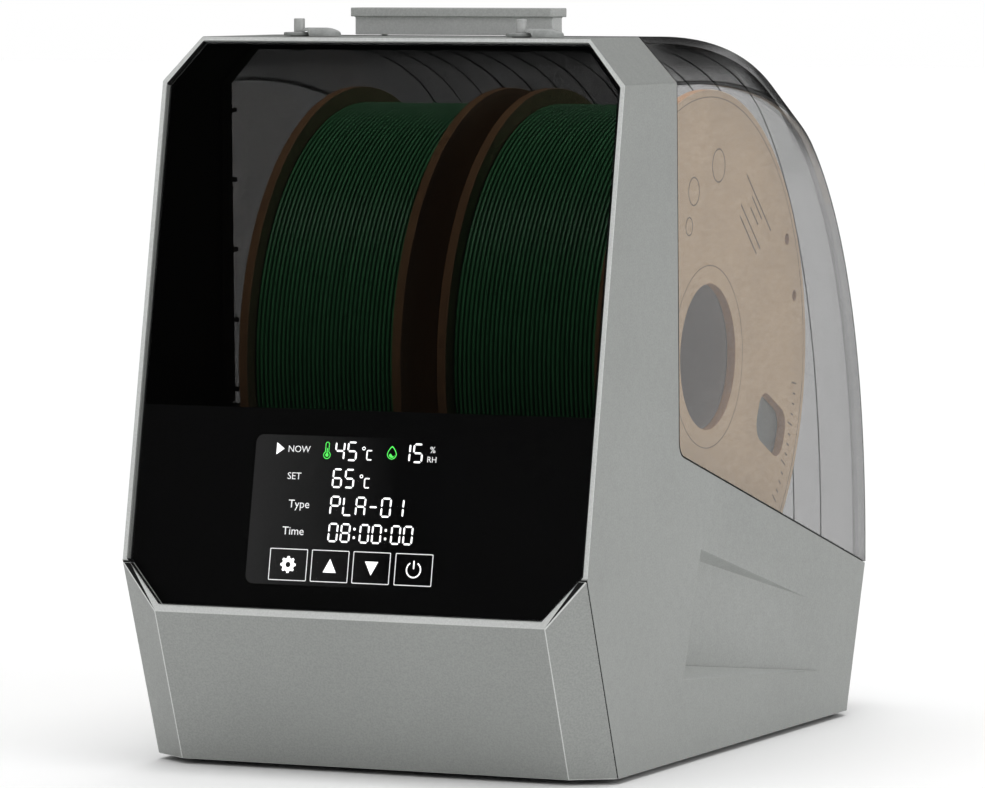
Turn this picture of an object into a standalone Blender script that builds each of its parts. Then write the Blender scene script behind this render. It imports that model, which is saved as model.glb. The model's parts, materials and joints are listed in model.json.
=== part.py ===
"""A filament dryer box: a moulded housing with a leaning glass front, a clear curved lid hinged at the rear,
two spools riding on rollers in a heated chamber, and the blower, heater and electronics under its floor.

All shapes are drawn in millimetres in the body's own axes: X to the right, Y towards the back, Z up from the
body's underside, with Y = 0 on the front panel at the height PANEL_ZERO_Z. place() moves them to metres, with
the origin under the middle of the whole object, on the surface that its feet stand on.
"""

import math

import bmesh
import bpy
from mathutils import Vector

# Housing
HALF_WIDTH = 92.1
TOP_HALF_WIDTH = 77.3
CHAMFER = 16.4  # height of the shoulder chamfer, and depth of the rear corner chamfer
BODY_TOP = 263.7
PANEL_ZERO_Z = 74.8
PANEL_LEAN = math.radians(10.92)
CHIN_TOP_Z = 56.2
CHIN_SEAM_Z = 73.6
CHIN_FOOT_Y = 18.0
SIDE_FOOT_Y = 28.1
FRAME_BACK_TOP_Y = 81.2
FRAME_BACK_LOW = (84.2, 112.0)
RIM_REAR = (274.6, 56.2)
REAR_FOOT_Y = 271.4
WALL = 2.8
GAP = 0.3  # left between pieces that touch
SEAM = 0.2  # half of the joint line between two covers

# Front glass
GLASS_TOP_Z = 261.8
GLASS_SHOULDER_Z = 246.2
GLASS_LOW_CORNER_Z = 74.8
GLASS_BOTTOM_Z = 58.9
GLASS_TOP_HALF = 76.4
GLASS_SIDE_HALF = 89.9
GLASS_BOTTOM_HALF = 75.6
GLASS_THICK = 2.6
LEDGE = 1.8  # how far the ledge behind the glass reaches in from its top and sides
LEDGE_LOW = 5.5  # the same along its bottom and lower corners
LEDGE_BACK = 5.6

# Lid: its rim follows two curves, from the flat top over the shoulder and down the back
LID_THICK = 2.5
RIM_START = (94.5, 247.3)
RIM_SHOULDER = (216.6, 221.1)
RIM_SHOULDER_ANGLE = math.radians(40.2)
RIM_END = (275.0, 58.8)
RIM_HANDLES = (65.4, 23.8, 49.9, 72.8)
RIM_STEPS = 7
LID_FRONT_GAP = 0.45
LID_RIM_GAP = 0.5
LID_FOOT_Z = 56.7

# Hinge
PIVOT = (291.2, 52.0)
BARREL_R = 2.8
PIN_R = 1.3
HINGE_X = 52.0
LUG_HALF = 8.0
KNUCKLE = 7.0

# Handle
HANDLE_HALF = 41.5
HANDLE_Y = (85.6, 99.6)
HANDLE_PLATE_Z = (270.7, 274.0)
HANDLE_STEM_Y = (88.2, 97.0)
HANDLE_STEM_HALF = 40.0
HANDLE_SCREW_X = 30.0

# Spools and rollers
SPOOL_AXIS = (152.5, 143.4)
SPOOL_R = 100.0
SPOOL_WIDTH = 66.0
SPOOL_X = {"left": -38.0, "right": 42.5}
FLANGE_THICK = 3.6
BORE_R = 27.3
CORE_R = 40.0
WINDING_R = 94.0
ROLLER_R = 11.0
ROLLER_ANGLE = math.radians(34.0)
ROLLER_SPAN = (3.3, 76.2)
AXLE_R = 3.0

# Chamber tub
TUB_HALF = 80.5
TUB_WALL = 2.0
TUB_FLOOR = (36.0, 38.2)
TUB_FRONT_DEPTH = (27.0, 29.2)
TUB_SHELF_Z = 126.0
TUB_REAR = ((270.0, 36.0), (278.2, 54.6))

# Air path and electronics under the floor
BLOWER_CENTRE = (-28.0, 110.0)
BLOWER_HALF = 38.0
BLOWER_Z = (4.5, 32.5)
INLET_X = 48.0
INLET_Z = 17.0

# Feet
FOOT_R = 8.0
FOOT_HEIGHT = 1.5
FOOT_X = 70.0
FOOT_Y = (48.0, 244.0)

# Whole object
FRONT_Y = (CHIN_TOP_Z - PANEL_ZERO_Z) * math.tan(PANEL_LEAN)
REAR_Y = PIVOT[0] + BARREL_R
MIDDLE_Y = (FRONT_Y + REAR_Y) / 2
MM = 0.001

LEAN_SIN = math.sin(PANEL_LEAN)
LEAN_COS = math.cos(PANEL_LEAN)
REAR_SLOPE = math.atan2(RIM_REAR[0] + CHAMFER - REAR_FOOT_Y, RIM_REAR[1])
REAR_SIN = math.sin(REAR_SLOPE)
REAR_COS = math.cos(REAR_SLOPE)

# Colour, roughness and metallic value of each finish
FINISHES = {
    "housing_grey": ((0.33, 0.35, 0.34), 0.55, 0.0),
    "smoked_clear": ((0.20, 0.20, 0.21), 0.10, 0.0),
    "black_glass": ((0.01, 0.01, 0.01), 0.05, 0.0),
    "black_plastic": ((0.02, 0.02, 0.02), 0.50, 0.0),
    "black_rubber": ((0.015, 0.015, 0.015), 0.80, 0.0),
    "grey_silicone": ((0.45, 0.47, 0.46), 0.55, 0.0),
    "tube_white": ((0.80, 0.80, 0.78), 0.35, 0.0),
    "board_green": ((0.02, 0.14, 0.06), 0.45, 0.0),
    "steel": ((0.62, 0.62, 0.63), 0.30, 1.0),
    "aluminium": ((0.72, 0.73, 0.74), 0.40, 1.0),
    "cardboard": ((0.50, 0.37, 0.24), 0.90, 0.0),
    "green_filament": ((0.01, 0.12, 0.05), 0.35, 0.0),
    "roller_white": ((0.70, 0.70, 0.68), 0.45, 0.0),
    "cable_grey": ((0.25, 0.25, 0.26), 0.60, 0.0),
}


# ---------------------------------------------------------------- axes and outlines


def panel_y(z):
    return (z - PANEL_ZERO_Z) * LEAN_SIN / LEAN_COS


def panel_s(z):
    """Distance up the leaning panel, from PANEL_ZERO_Z to the height z."""
    return (z - PANEL_ZERO_Z) / LEAN_COS


def rim_z(y):
    """Height of the housing's slanted rim, which the lid closes on."""
    (y0, z0), (y1, z1) = FRAME_BACK_LOW, RIM_REAR
    return z0 + (y - y0) * (z1 - z0) / (y1 - y0)


def along_x(u, v, w):
    return (w, u, v)


def along_y(u, v, w):
    return (u, w, v)


def along_z(u, v, w):
    return (u, v, w)


def on_panel(x, s, depth):
    """Point at x, s up the front panel and depth behind it."""
    return (x, s * LEAN_SIN + depth * LEAN_COS, PANEL_ZERO_Z + s * LEAN_COS - depth * LEAN_SIN)


def on_rear(x, s, depth):
    """Point at x, s up the leaning rear wall from the inlet's centre and depth in front of its outer face."""
    wall_y = REAR_FOOT_Y + INLET_Z * REAR_SIN / REAR_COS
    return (x, wall_y + s * REAR_SIN - depth * REAR_COS, INLET_Z + s * REAR_COS + depth * REAR_SIN)


def meeting(p, q, r, s):
    """Where the line through p and q meets the line through r and s."""
    d1 = (q[0] - p[0], q[1] - p[1])
    d2 = (s[0] - r[0], s[1] - r[1])
    t = ((r[0] - p[0]) * d2[1] - (r[1] - p[1]) * d2[0]) / (d1[0] * d2[1] - d1[1] * d2[0])
    return (p[0] + t * d1[0], p[1] + t * d1[1])


def inset(outline, distances):
    """The outline with each side moved inwards by its own distance, or outwards where that is negative."""
    count = len(outline)
    if not isinstance(distances, (list, tuple)):
        distances = [distances] * count
    area = 0.0
    for i, (u, v) in enumerate(outline):
        u2, v2 = outline[(i + 1) % count]
        area += u * v2 - u2 * v
    turn = 1 if area > 0 else -1
    sides = []
    for i, (p, distance) in enumerate(zip(outline, distances)):
        q = outline[(i + 1) % count]
        length = math.hypot(q[0] - p[0], q[1] - p[1])
        shift_u = -turn * distance * (q[1] - p[1]) / length
        shift_v = turn * distance * (q[0] - p[0]) / length
        sides.append(((p[0] + shift_u, p[1] + shift_v), (q[0] + shift_u, q[1] + shift_v)))
    return [meeting(*sides[i - 1], *sides[i]) for i in range(count)]


def rounded(outline, radii, steps=4):
    """The outline with the corners named in radii turned into arcs."""
    result = []
    count = len(outline)
    for i, corner in enumerate(outline):
        radius = radii.get(i, 0.0)
        if not radius:
            result.append(corner)
            continue
        point = Vector(corner)
        back = (Vector(outline[i - 1]) - point).normalized()
        ahead = (Vector(outline[(i + 1) % count]) - point).normalized()
        half = math.acos(max(-1.0, min(1.0, back.dot(ahead)))) / 2
        centre = point + (back + ahead).normalized() * radius / math.sin(half)
        start = point + back * radius / math.tan(half) - centre
        end = point + ahead * radius / math.tan(half) - centre
        for k in range(steps + 1):
            spoke = start.lerp(end, k / steps).normalized() * radius
            result.append(tuple(centre + spoke))
    return result


def rectangle(u0, u1, v0, v1):
    return [(u0, v0), (u1, v0), (u1, v1), (u0, v1)]


def round_rectangle(half_u, half_v, radius, steps=3, centre=(0.0, 0.0)):
    corners = rectangle(centre[0] - half_u, centre[0] + half_u, centre[1] - half_v, centre[1] + half_v)
    return rounded(corners, {i: radius for i in range(4)}, steps)


def circle(radius, segments, centre=(0.0, 0.0)):
    turns = [2 * math.pi * (i + 0.5) / segments for i in range(segments)]
    return [(centre[0] + radius * math.cos(a), centre[1] + radius * math.sin(a)) for a in turns]


# ---------------------------------------------------------------- solids


def finished(bm):
    bm.normal_update()
    bmesh.ops.recalc_face_normals(bm, faces=bm.faces)
    mesh = bpy.data.meshes.new("shape")
    bm.to_mesh(mesh)
    bm.free()
    return mesh


def prism(outline, low, high, axes):
    """A closed solid: the outline drawn out from low to high, with axes giving where each point lies."""
    bm = bmesh.new()
    ends = [[bm.verts.new(axes(u, v, w)) for u, v in outline] for w in (low, high)]
    for end in ends:
        bm.faces.new(end)
    for i in range(len(outline)):
        bm.faces.new((ends[0][i - 1], ends[0][i], ends[1][i], ends[1][i - 1]))
    return finished(bm)


def block(x0, x1, y0, y1, z0, z1):
    return prism(rectangle(x0, x1, y0, y1), z0, z1, along_z)


def cylinder(radius, low, high, centre, axes, segments=24):
    return prism(circle(radius, segments, centre), low, high, axes)


def turned(profile, centre, axes, segments):
    """A closed solid of revolution. Profile points are (radius, height); radius 0 lies on the axis."""
    bm = bmesh.new()
    rings = []
    for radius, height in profile:
        if radius == 0:
            rings.append([bm.verts.new(axes(centre[0], centre[1], height))] * segments)
        else:
            rings.append([bm.verts.new(axes(u, v, height)) for u, v in circle(radius, segments, centre)])
    for i in range(len(rings)):
        first, second = rings[i - 1], rings[i]
        if first[0] is first[1] and second[0] is second[1]:
            continue
        for k in range(segments):
            corners = [first[k - 1], first[k], second[k], second[k - 1]]
            bm.faces.new(list(dict.fromkeys(corners)))
    return finished(bm)


def loft(sections):
    """A closed solid through rings of points that all have the same count."""
    bm = bmesh.new()
    rings = [[bm.verts.new(point) for point in section] for section in sections]
    bm.faces.new(rings[0])
    bm.faces.new(rings[-1])
    for first, second in zip(rings, rings[1:]):
        for i in range(len(first)):
            bm.faces.new((first[i - 1], first[i], second[i], second[i - 1]))
    return finished(bm)


def convex(points):
    bm = bmesh.new()
    for point in points:
        bm.verts.new(point)
    hull = bmesh.ops.convex_hull(bm, input=bm.verts)
    bmesh.ops.delete(bm, geom=hull["geom_interior"], context="VERTS")
    bmesh.ops.dissolve_limit(bm, angle_limit=0.001, verts=bm.verts, edges=bm.edges)
    return finished(bm)


def mirrored(mesh):
    """The same shape on the other side of X = 0."""
    bm = bmesh.new()
    bm.from_mesh(mesh)
    for vertex in bm.verts:
        vertex.co.x = -vertex.co.x
    return finished(bm)


def trimmed(mesh, corners, outside, inwards=0.0):
    """The mesh without what lies past the plane through three corners, on the side where the point outside is."""
    a, b, c = (Vector(corner) for corner in corners)
    normal = (b - a).cross(c - a).normalized()
    if normal.dot(Vector(outside) - a) < 0:
        normal.negate()
    bm = bmesh.new()
    bm.from_mesh(mesh)
    everything = bm.verts[:] + bm.edges[:] + bm.faces[:]
    bmesh.ops.bisect_plane(bm, geom=everything, plane_co=a - normal * inwards, plane_no=normal, clear_outer=True)
    bmesh.ops.edgeloop_fill(bm, edges=[edge for edge in bm.edges if edge.is_boundary])
    return finished(bm)


def combined(operation, base, tools):
    """The result of one Boolean after another on the base mesh."""
    scene = bpy.context.scene.collection.objects
    body = bpy.data.objects.new("body", base)
    helpers = [bpy.data.objects.new("helper", tool) for tool in tools]
    for item in [body] + helpers:
        scene.link(item)
    for helper in helpers:
        modifier = body.modifiers.new("combine", "BOOLEAN")
        modifier.operation = operation
        modifier.object = helper
    bpy.context.view_layer.update()
    evaluated = body.evaluated_get(bpy.context.evaluated_depsgraph_get())
    mesh = bpy.data.meshes.new_from_object(evaluated)
    for item in [body] + helpers:
        bpy.data.objects.remove(item)
    return mesh


def cut(base, *tools):
    return combined("DIFFERENCE", base, tools)


def join(base, *tools):
    return combined("UNION", base, tools)


def common(base, *tools):
    return combined("INTERSECT", base, tools)


# ---------------------------------------------------------------- objects


def material(finish):
    found = bpy.data.materials.get(finish)
    if found:
        return found
    colour, roughness, metallic = FINISHES[finish]
    made = bpy.data.materials.new(finish)
    made.use_nodes = True
    shader = made.node_tree.nodes["Principled BSDF"]
    shader.inputs["Base Color"].default_value = (*colour, 1.0)
    shader.inputs["Roughness"].default_value = roughness
    shader.inputs["Metallic"].default_value = metallic
    made.diffuse_color = (*colour, 1.0)
    return made


def place(name, mesh, finish, pivot=(0.0, MIDDLE_Y, 0.0), smooth=False):
    """Puts a shape into the scene in metres, with its origin at the pivot."""
    origin = Vector(pivot)
    for vertex in mesh.vertices:
        vertex.co = (vertex.co - origin) * MM
    mesh.name = name
    mesh.materials.clear()
    mesh.materials.append(material(finish))
    if smooth:
        mesh.shade_smooth()
        mesh.set_sharp_from_angle(angle=math.radians(35))
    thing = bpy.data.objects.new(name, mesh)
    thing.location = (origin.x * MM, (origin.y - MIDDLE_Y) * MM, (origin.z + FOOT_HEIGHT) * MM)
    bpy.context.scene.collection.objects.link(thing)
    return thing


def on_both_sides(name, mesh, finish, **options):
    """A piece on the right and its mirror image on the left."""
    place(name + "_left", mirrored(mesh), finish, **options)
    place(name + "_right", mesh, finish, **options)


# ---------------------------------------------------------------- housing

# Side view of the housing, from the chin's foot up the front, over the top and down the back, and how far the
# chamber inside stands in from each of its sides; a negative distance leaves that side open
HOUSING_SIDE = [
    (CHIN_FOOT_Y, 0.0),
    (FRONT_Y, CHIN_TOP_Z),
    (panel_y(BODY_TOP), BODY_TOP),
    (FRAME_BACK_TOP_Y, BODY_TOP),
    FRAME_BACK_LOW,
    RIM_REAR,
    (RIM_REAR[0] + CHAMFER, RIM_REAR[1]),
    (REAR_FOOT_Y, 0.0),
]
CHAMBER_INSETS = [WALL, LEDGE_BACK, WALL, -30.0, -20.0, -20.0, WALL, -5.0]


def housing_solid(outline, inwards):
    """The outline across the full width, less its shoulder, chin and rear corners, all moved inwards."""
    half = HALF_WIDTH - inwards
    solid = prism(outline, -half, half, along_x)
    rear_centre_y = RIM_REAR[0] + CHAMFER
    for side in (-1, 1):
        wide, narrow = side * HALF_WIDTH, side * TOP_HALF_WIDTH
        shoulder = ((narrow, 0, BODY_TOP), (narrow, 80, BODY_TOP), (wide, 0, BODY_TOP - CHAMFER))
        solid = trimmed(solid, shoulder, (wide, 0, BODY_TOP), inwards)
        chin = (
            (narrow, FRONT_Y, CHIN_TOP_Z),
            (wide, panel_y(CHIN_SEAM_Z), CHIN_SEAM_Z),
            (wide, SIDE_FOOT_Y, 0),
        )
        solid = trimmed(solid, chin, (wide, FRONT_Y, 0), inwards)
        rear = (
            (narrow, rear_centre_y, RIM_REAR[1]),
            (wide, RIM_REAR[0], RIM_REAR[1]),
            (wide, REAR_FOOT_Y - CHAMFER, 0),
        )
        solid = trimmed(solid, rear, (wide, rear_centre_y, RIM_REAR[1]), inwards)
    return solid


def glass_outline():
    half = [
        (GLASS_BOTTOM_HALF, panel_s(GLASS_BOTTOM_Z)),
        (GLASS_SIDE_HALF, panel_s(GLASS_LOW_CORNER_Z)),
        (GLASS_SIDE_HALF, panel_s(GLASS_SHOULDER_Z)),
        (GLASS_TOP_HALF, panel_s(GLASS_TOP_Z)),
    ]
    return half + [(-x, s) for x, s in reversed(half)]


def seam_y(z):
    """The joint line between the chin cover and the side of the housing, seen from the side."""
    return SIDE_FOOT_Y + (panel_y(CHIN_SEAM_Z) - SIDE_FOOT_Y) * z / CHIN_SEAM_Z


def front_of_seam(shift, top_z):
    corners = [(-40.0, -6.0), (seam_y(-6.0) + shift, -6.0), (seam_y(top_z) + shift, top_z), (-40.0, top_z)]
    return prism(corners, -120, 120, along_x)


# The grip on each side: its four corners on the side wall, and the two deep corners behind its front end
GRIP_MOUTH = [(105.0, 75.6), (211.0, 48.4), (218.5, 19.6), (88.6, 29.4)]
GRIP_DEEP = [(106.5, 72.6), (92.6, 34.0)]
GRIP_DEPTH = 6.0


def grip_wedge(spread, depth, out):
    """The grip's hollow; spread moves its mouth outwards and out is how far it stands off the wall."""
    mouth = inset(GRIP_MOUTH, -spread)
    deep = [GRIP_DEEP[0], GRIP_DEEP[1]]
    points = [(x, y, z) for y, z in mouth for x in (HALF_WIDTH, HALF_WIDTH + out)]
    points += [(HALF_WIDTH - depth, y, z) for y, z in deep]
    return convex(points)


def grip_backing():
    """Solid behind the grip, which keeps the wall closed there."""
    mouth = inset(GRIP_MOUTH, -3.0)
    points = [(HALF_WIDTH - 1.0, y, z) for y, z in mouth]
    points += [(HALF_WIDTH - WALL - 0.4, y, z) for y, z in mouth]
    points += [(HALF_WIDTH - GRIP_DEPTH - 2.4, y - 3.0, z) for y, z in GRIP_DEEP]
    points += [(HALF_WIDTH - GRIP_DEPTH - 2.4, y + 3.0, z) for y, z in GRIP_DEEP]
    return convex(points)


REAR_PANEL_HALF = 74.0
HINGE_NOTCH_HALF = LUG_HALF + GAP + KNUCKLE + GAP
HINGE_NOTCH_Z = 48.4


def rear_zone(gap):
    """The flat middle of the back, between the two chamfered corners."""
    half = REAR_PANEL_HALF - gap
    return block(-half, half, REAR_FOOT_Y - 40.0, 320.0, -6.0, RIM_REAR[1] + 20.0)


def make_main_shell(outer, chamber, pocket, window):
    hollow = cut(chamber, grip_backing(), mirrored(grip_backing()))
    half = HALF_WIDTH - WALL
    lower_front = block(-half, half, -40.0, 60.0, -6.0, CHIN_SEAM_Z + SEAM)
    grip = grip_wedge(0.0, GRIP_DEPTH, 8.0)
    outlets = [cylinder(3.6, BODY_TOP - 10, BODY_TOP + 10, (x, OUTLET_Y), along_z) for x in OUTLET_X]
    shell = cut(
        outer,
        hollow,
        front_of_seam(SEAM, CHIN_SEAM_Z + SEAM),
        lower_front,
        pocket,
        window,
        rear_zone(0.0),
        grip,
        mirrored(grip),
        *outlets,
    )
    place("main_shell", shell, "housing_grey")


def make_chin_cover(outer, pocket, window):
    half = HALF_WIDTH - WALL - GAP
    lip = common(
        prism(rectangle(-half, half, panel_s(30.0), panel_s(CHIN_SEAM_Z - SEAM)), -20.0, LEDGE_BACK - GAP, on_panel),
        block(-half, half, -60.0, 60.0, 48.0, 90.0),
    )
    zone = join(front_of_seam(-SEAM, CHIN_SEAM_Z - SEAM), lip)
    side = HOUSING_SIDE[:2] + [(FRONT_Y + 60.0, CHIN_TOP_Z + 60.0), (CHIN_FOOT_Y + 60.0, 0.0)]
    inner = trimmed(
        housing_solid(inset(side, [WALL, WALL, -60.0, -10.0]), WALL),
        ((0, 0, 50.0), (1, 0, 50.0), (0, 1, 50.0)),
        (0, 0, 60.0),
    )
    cover = cut(common(outer, zone), inner, pocket, window)
    place("chin_cover", cover, "housing_grey")


def make_rear_panel(outer, chamber):
    notch_low = HINGE_NOTCH_Z
    notches = [
        block(x - HINGE_NOTCH_HALF, x + HINGE_NOTCH_HALF, 270.0, 320.0, notch_low, RIM_REAR[1] + 10.0)
        for x in (-HINGE_X, HINGE_X)
    ]
    inlet_hole = prism(round_rectangle(13.9, 10.4, 2.0, 3, (INLET_X, 0.0)), -10.0, 12.0, on_rear)
    panel = cut(common(outer, rear_zone(GAP)), chamber, inlet_hole, *notches)
    place("rear_panel", panel, "housing_grey")


def floor_outline(back_off):
    """Plan of the underside, standing in from the walls by back_off."""
    half = [
        (TOP_HALF_WIDTH, CHIN_FOOT_Y),
        (HALF_WIDTH, SIDE_FOOT_Y),
        (HALF_WIDTH, REAR_FOOT_Y - CHAMFER),
        (TOP_HALF_WIDTH, REAR_FOOT_Y),
    ]
    return inset(half + [(-x, y) for x, y in reversed(half)], back_off)


def make_bottom_plate():
    plate = prism(floor_outline(WALL + 1.0), 0.0, 2.5, along_z)
    seats = [
        cylinder(FOOT_R + GAP, -1.0, 1.0, (x, y), along_z, 20) for x in (-FOOT_X, FOOT_X) for y in FOOT_Y
    ]
    counterbore = [(0, -1.0), (3.4, -1.0), (3.4, 1.2), (1.9, 1.2), (1.9, 4.0), (0, 4.0)]
    holes = [turned(counterbore, centre, along_z, 12) for centre in SCREW_PLACES]
    slots = [block(x - 1.5, x + 1.5, 150.0, 190.0, -1.0, 4.0) for x in range(26, 75, 8)]
    place("bottom_plate", cut(plate, *seats, *holes, *slots), "black_plastic")


SCREW_PLACES = [(-70.0, 72.0), (70.0, 72.0), (-70.0, 262.0), (70.0, 262.0)]


def make_feet_and_screws():
    for row, y in zip(("front", "rear"), FOOT_Y):
        for side, x in (("left", -FOOT_X), ("right", FOOT_X)):
            profile = [(0, -FOOT_HEIGHT), (FOOT_R - 0.8, -FOOT_HEIGHT), (FOOT_R, -0.7), (FOOT_R, 0.7), (0, 0.7)]
            place(f"foot_{row}_{side}", turned(profile, (x, y), along_z, 20), "black_rubber", smooth=True)
    names = ("front_left", "front_right", "rear_left", "rear_right")
    for name, centre in zip(names, SCREW_PLACES):
        profile = [(0, 0.2), (2.8, 0.2), (3.0, 0.5), (3.0, 0.9), (1.4, 0.9), (1.4, 11.0), (0, 11.0)]
        place(f"base_screw_{name}", turned(profile, centre, along_z, 12), "steel", smooth=True)


# ---------------------------------------------------------------- front glass and display

DISPLAY_HALF = 43.0
DISPLAY_S = (-9.0, 49.0)


def make_front():
    glass = prism(glass_outline(), 0.15, GLASS_THICK, on_panel)
    place("front_glass", glass, "black_glass")
    tray = prism(rectangle(-DISPLAY_HALF, DISPLAY_HALF, *DISPLAY_S), GLASS_THICK + 0.4, 8.0, on_panel)
    place("display_module", tray, "black_plastic")
    board = prism(rectangle(-48.0, 48.0, -9.0, 56.0), 10.0, 11.6, on_panel)
    parts = [
        prism(rectangle(-30.0, -18.0, 20.0, 32.0), 11.0, 13.4, on_panel),
        prism(rectangle(-8.0, 2.0, 8.0, 30.0), 11.0, 15.0, on_panel),
        prism(rectangle(12.0, 40.0, 2.0, 9.0), 11.0, 17.0, on_panel),
        prism(rectangle(20.0, 30.0, 30.0, 44.0), 11.0, 16.0, on_panel),
        prism(rectangle(-44.0, -36.0, 40.0, 52.0), 11.0, 16.0, on_panel),
    ]
    spacers = [prism(rectangle(x, x + 5.0, 42.0, 47.0), 8.3, 10.5, on_panel) for x in (-41.0, 36.0)]
    place("control_board", join(board, *parts, *spacers), "board_green")


# ---------------------------------------------------------------- filament outlets in the frame's top

OUTLET_X = (-44.4, 44.4)
OUTLET_Y = 50.0
OUTLET_DISC_R = 5.7
OUTLET_DISC_TOP = BODY_TOP + GAP + 1.3
OUTLET_TUBE_Z = (258.4, 270.3)
CAP_LENGTH = (3.4, 16.4)
CAP_HALF = 5.6
CAP_TOP = 3.0


def outlet_seal(x):
    """A silicone grommet in the frame's top."""
    top = BODY_TOP + GAP
    inside = BODY_TOP - WALL - 0.3
    profile = [
        (2.15, inside - 1.6),
        (4.4, inside - 1.6),
        (4.4, inside),
        (3.3, inside),
        (3.3, top),
        (OUTLET_DISC_R, top),
        (OUTLET_DISC_R, top + 0.9),
        (OUTLET_DISC_R - 0.4, OUTLET_DISC_TOP),
        (2.15, OUTLET_DISC_TOP),
    ]
    return turned(profile, (x, OUTLET_Y), along_z, 20)


def outlet_cap(x):
    """The grommet's stopper, folded back beside it, with its near end over the grommet's rim."""
    top = BODY_TOP + GAP
    over = OUTLET_DISC_TOP + GAP - top
    low, high = CAP_LENGTH
    side = [
        (low, CAP_TOP - 0.6),
        (low + 0.6, CAP_TOP),
        (high - 5.5, CAP_TOP),
        (high - 2.0, CAP_TOP - 1.0),
        (high, 0.9),
        (high, 0.0),
        (OUTLET_DISC_R + 0.5, 0.0),
        (OUTLET_DISC_R + 0.5, over),
        (low, over),
    ]
    stopper = prism([(x + u, top + v) for u, v in side], OUTLET_Y - CAP_HALF, OUTLET_Y + CAP_HALF, along_y)
    plan = rounded(
        rectangle(x + low - 1, x + high, OUTLET_Y - CAP_HALF, OUTLET_Y + CAP_HALF), {1: 5.4, 2: 5.4}, 5
    )
    stopper = common(stopper, prism(plan, top - 2.0, top + 6.0, along_z))
    post_room = cylinder(3.6, top - 3.0, top + 8.0, (x, OUTLET_Y), along_z, 24)
    return cut(stopper, post_room)


def make_outlets():
    for side, x in zip(("left", "right"), OUTLET_X):
        place(f"outlet_seal_{side}", outlet_seal(x), "grey_silicone", smooth=True)
        pivot = (x + CAP_LENGTH[0], OUTLET_Y, OUTLET_DISC_TOP + GAP)
        place(f"outlet_cap_{side}", outlet_cap(x), "grey_silicone", pivot=pivot)
        low, high = OUTLET_TUBE_Z
        tube = [(1.1, low), (2.0, low), (2.0, high - 0.3), (1.8, high), (1.1, high)]
        place(f"outlet_tube_{side}", turned(tube, (x, OUTLET_Y), along_z, 16), "tube_white", smooth=True)


# ---------------------------------------------------------------- lid


def curve_point(points, t):
    """Point and direction on the cubic curve with these four control points."""
    p0, p1, p2, p3 = (Vector(p) for p in points)
    s = 1 - t
    position = s**3 * p0 + 3 * s * s * t * p1 + 3 * s * t * t * p2 + t**3 * p3
    direction = s * s * (p1 - p0) + 2 * s * t * (p2 - p1) + t * t * (p3 - p2)
    return position, direction.normalized()


def rim_stations():
    """Points down the lid's rim, each with the direction that faces out of the lid."""
    start, shoulder, end = (Vector(p) for p in (RIM_START, RIM_SHOULDER, RIM_END))
    down = Vector((math.cos(RIM_SHOULDER_ANGLE), -math.sin(RIM_SHOULDER_ANGLE)))
    first = (start, start + Vector((RIM_HANDLES[0], 0)), shoulder - down * RIM_HANDLES[1], shoulder)
    second = (shoulder, shoulder + down * RIM_HANDLES[2], end + Vector((0, RIM_HANDLES[3])), end)
    stations = [(Vector((FRAME_BACK_TOP_Y + LID_FRONT_GAP, RIM_START[1])), Vector((0, 1)))]
    for points, first_step in ((first, 0), (second, 1)):
        for k in range(first_step, RIM_STEPS + 1):
            position, direction = curve_point(points, k / RIM_STEPS)
            stations.append((position, Vector((-direction.y, direction.x))))
    stations.append((Vector((RIM_END[0], LID_FOOT_Z)), Vector((1, 0))))
    return stations


def cover_section():
    """Half of the cover's cross-section, as x and height above the rim: outside, then back along the inside."""
    outer = [(HALF_WIDTH, -1.0), (HALF_WIDTH, 0.0), (TOP_HALF_WIDTH, CHAMFER)]
    bevel = Vector((CHAMFER, HALF_WIDTH - TOP_HALF_WIDTH)).normalized() * LID_THICK
    top_line = ((0, CHAMFER - LID_THICK), (1, CHAMFER - LID_THICK))
    bevel_line = (
        (HALF_WIDTH - bevel.x, -bevel.y),
        (TOP_HALF_WIDTH - bevel.x, CHAMFER - bevel.y),
    )
    side_line = ((HALF_WIDTH - LID_THICK, 0), (HALF_WIDTH - LID_THICK, 1))
    inner = [meeting(*bevel_line, *top_line), meeting(*bevel_line, *side_line), (HALF_WIDTH - LID_THICK, -1.0)]
    return outer, inner


def make_lid_cover():
    outer, inner = cover_section()
    right = outer[:]
    left = [(-x, n) for x, n in reversed(outer)]
    under = [(-x, n) for x, n in reversed(inner)] + inner
    ring = right + left + under
    sections = []
    for position, normal in rim_stations():
        sections.append([(x, position.x + n * normal.x, position.y + n * normal.y) for x, n in ring])
    holes = [
        cylinder(1.8, BODY_TOP - 8.0, BODY_TOP + 4.0, (x, HANDLE_SCREW_Y), along_z, 12)
        for x in (-HANDLE_SCREW_X, HANDLE_SCREW_X)
    ]
    place("lid_cover", cut(loft(sections), *holes), "smoked_clear", pivot=(0, *PIVOT))


def lid_side_outline():
    """The clear side wall under the rim, down to the housing's slanted rim."""
    drop = 1.0 + GAP
    top = [tuple(position - normal * drop) for position, normal in rim_stations()]
    front_low_y = FRAME_BACK_LOW[0] + LID_FRONT_GAP
    rear_y = top[-1][0]
    rear_low = (rear_y, rim_z(rear_y) + LID_RIM_GAP)
    front_low = (front_low_y, rim_z(front_low_y) + LID_RIM_GAP)
    top = [point for point in top if point[1] > rear_low[1] + 1.0]
    outline = top + [rear_low, front_low]
    return rounded(outline, {len(outline) - 1: 6.0}, 4)


def make_lid_sides():
    side = prism(lid_side_outline(), HALF_WIDTH - LID_THICK, HALF_WIDTH, along_x)
    on_both_sides("lid_side", side, "smoked_clear", pivot=(0, *PIVOT))


HANDLE_SCREW_Y = (HANDLE_STEM_Y[0] + HANDLE_STEM_Y[1]) / 2


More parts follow.
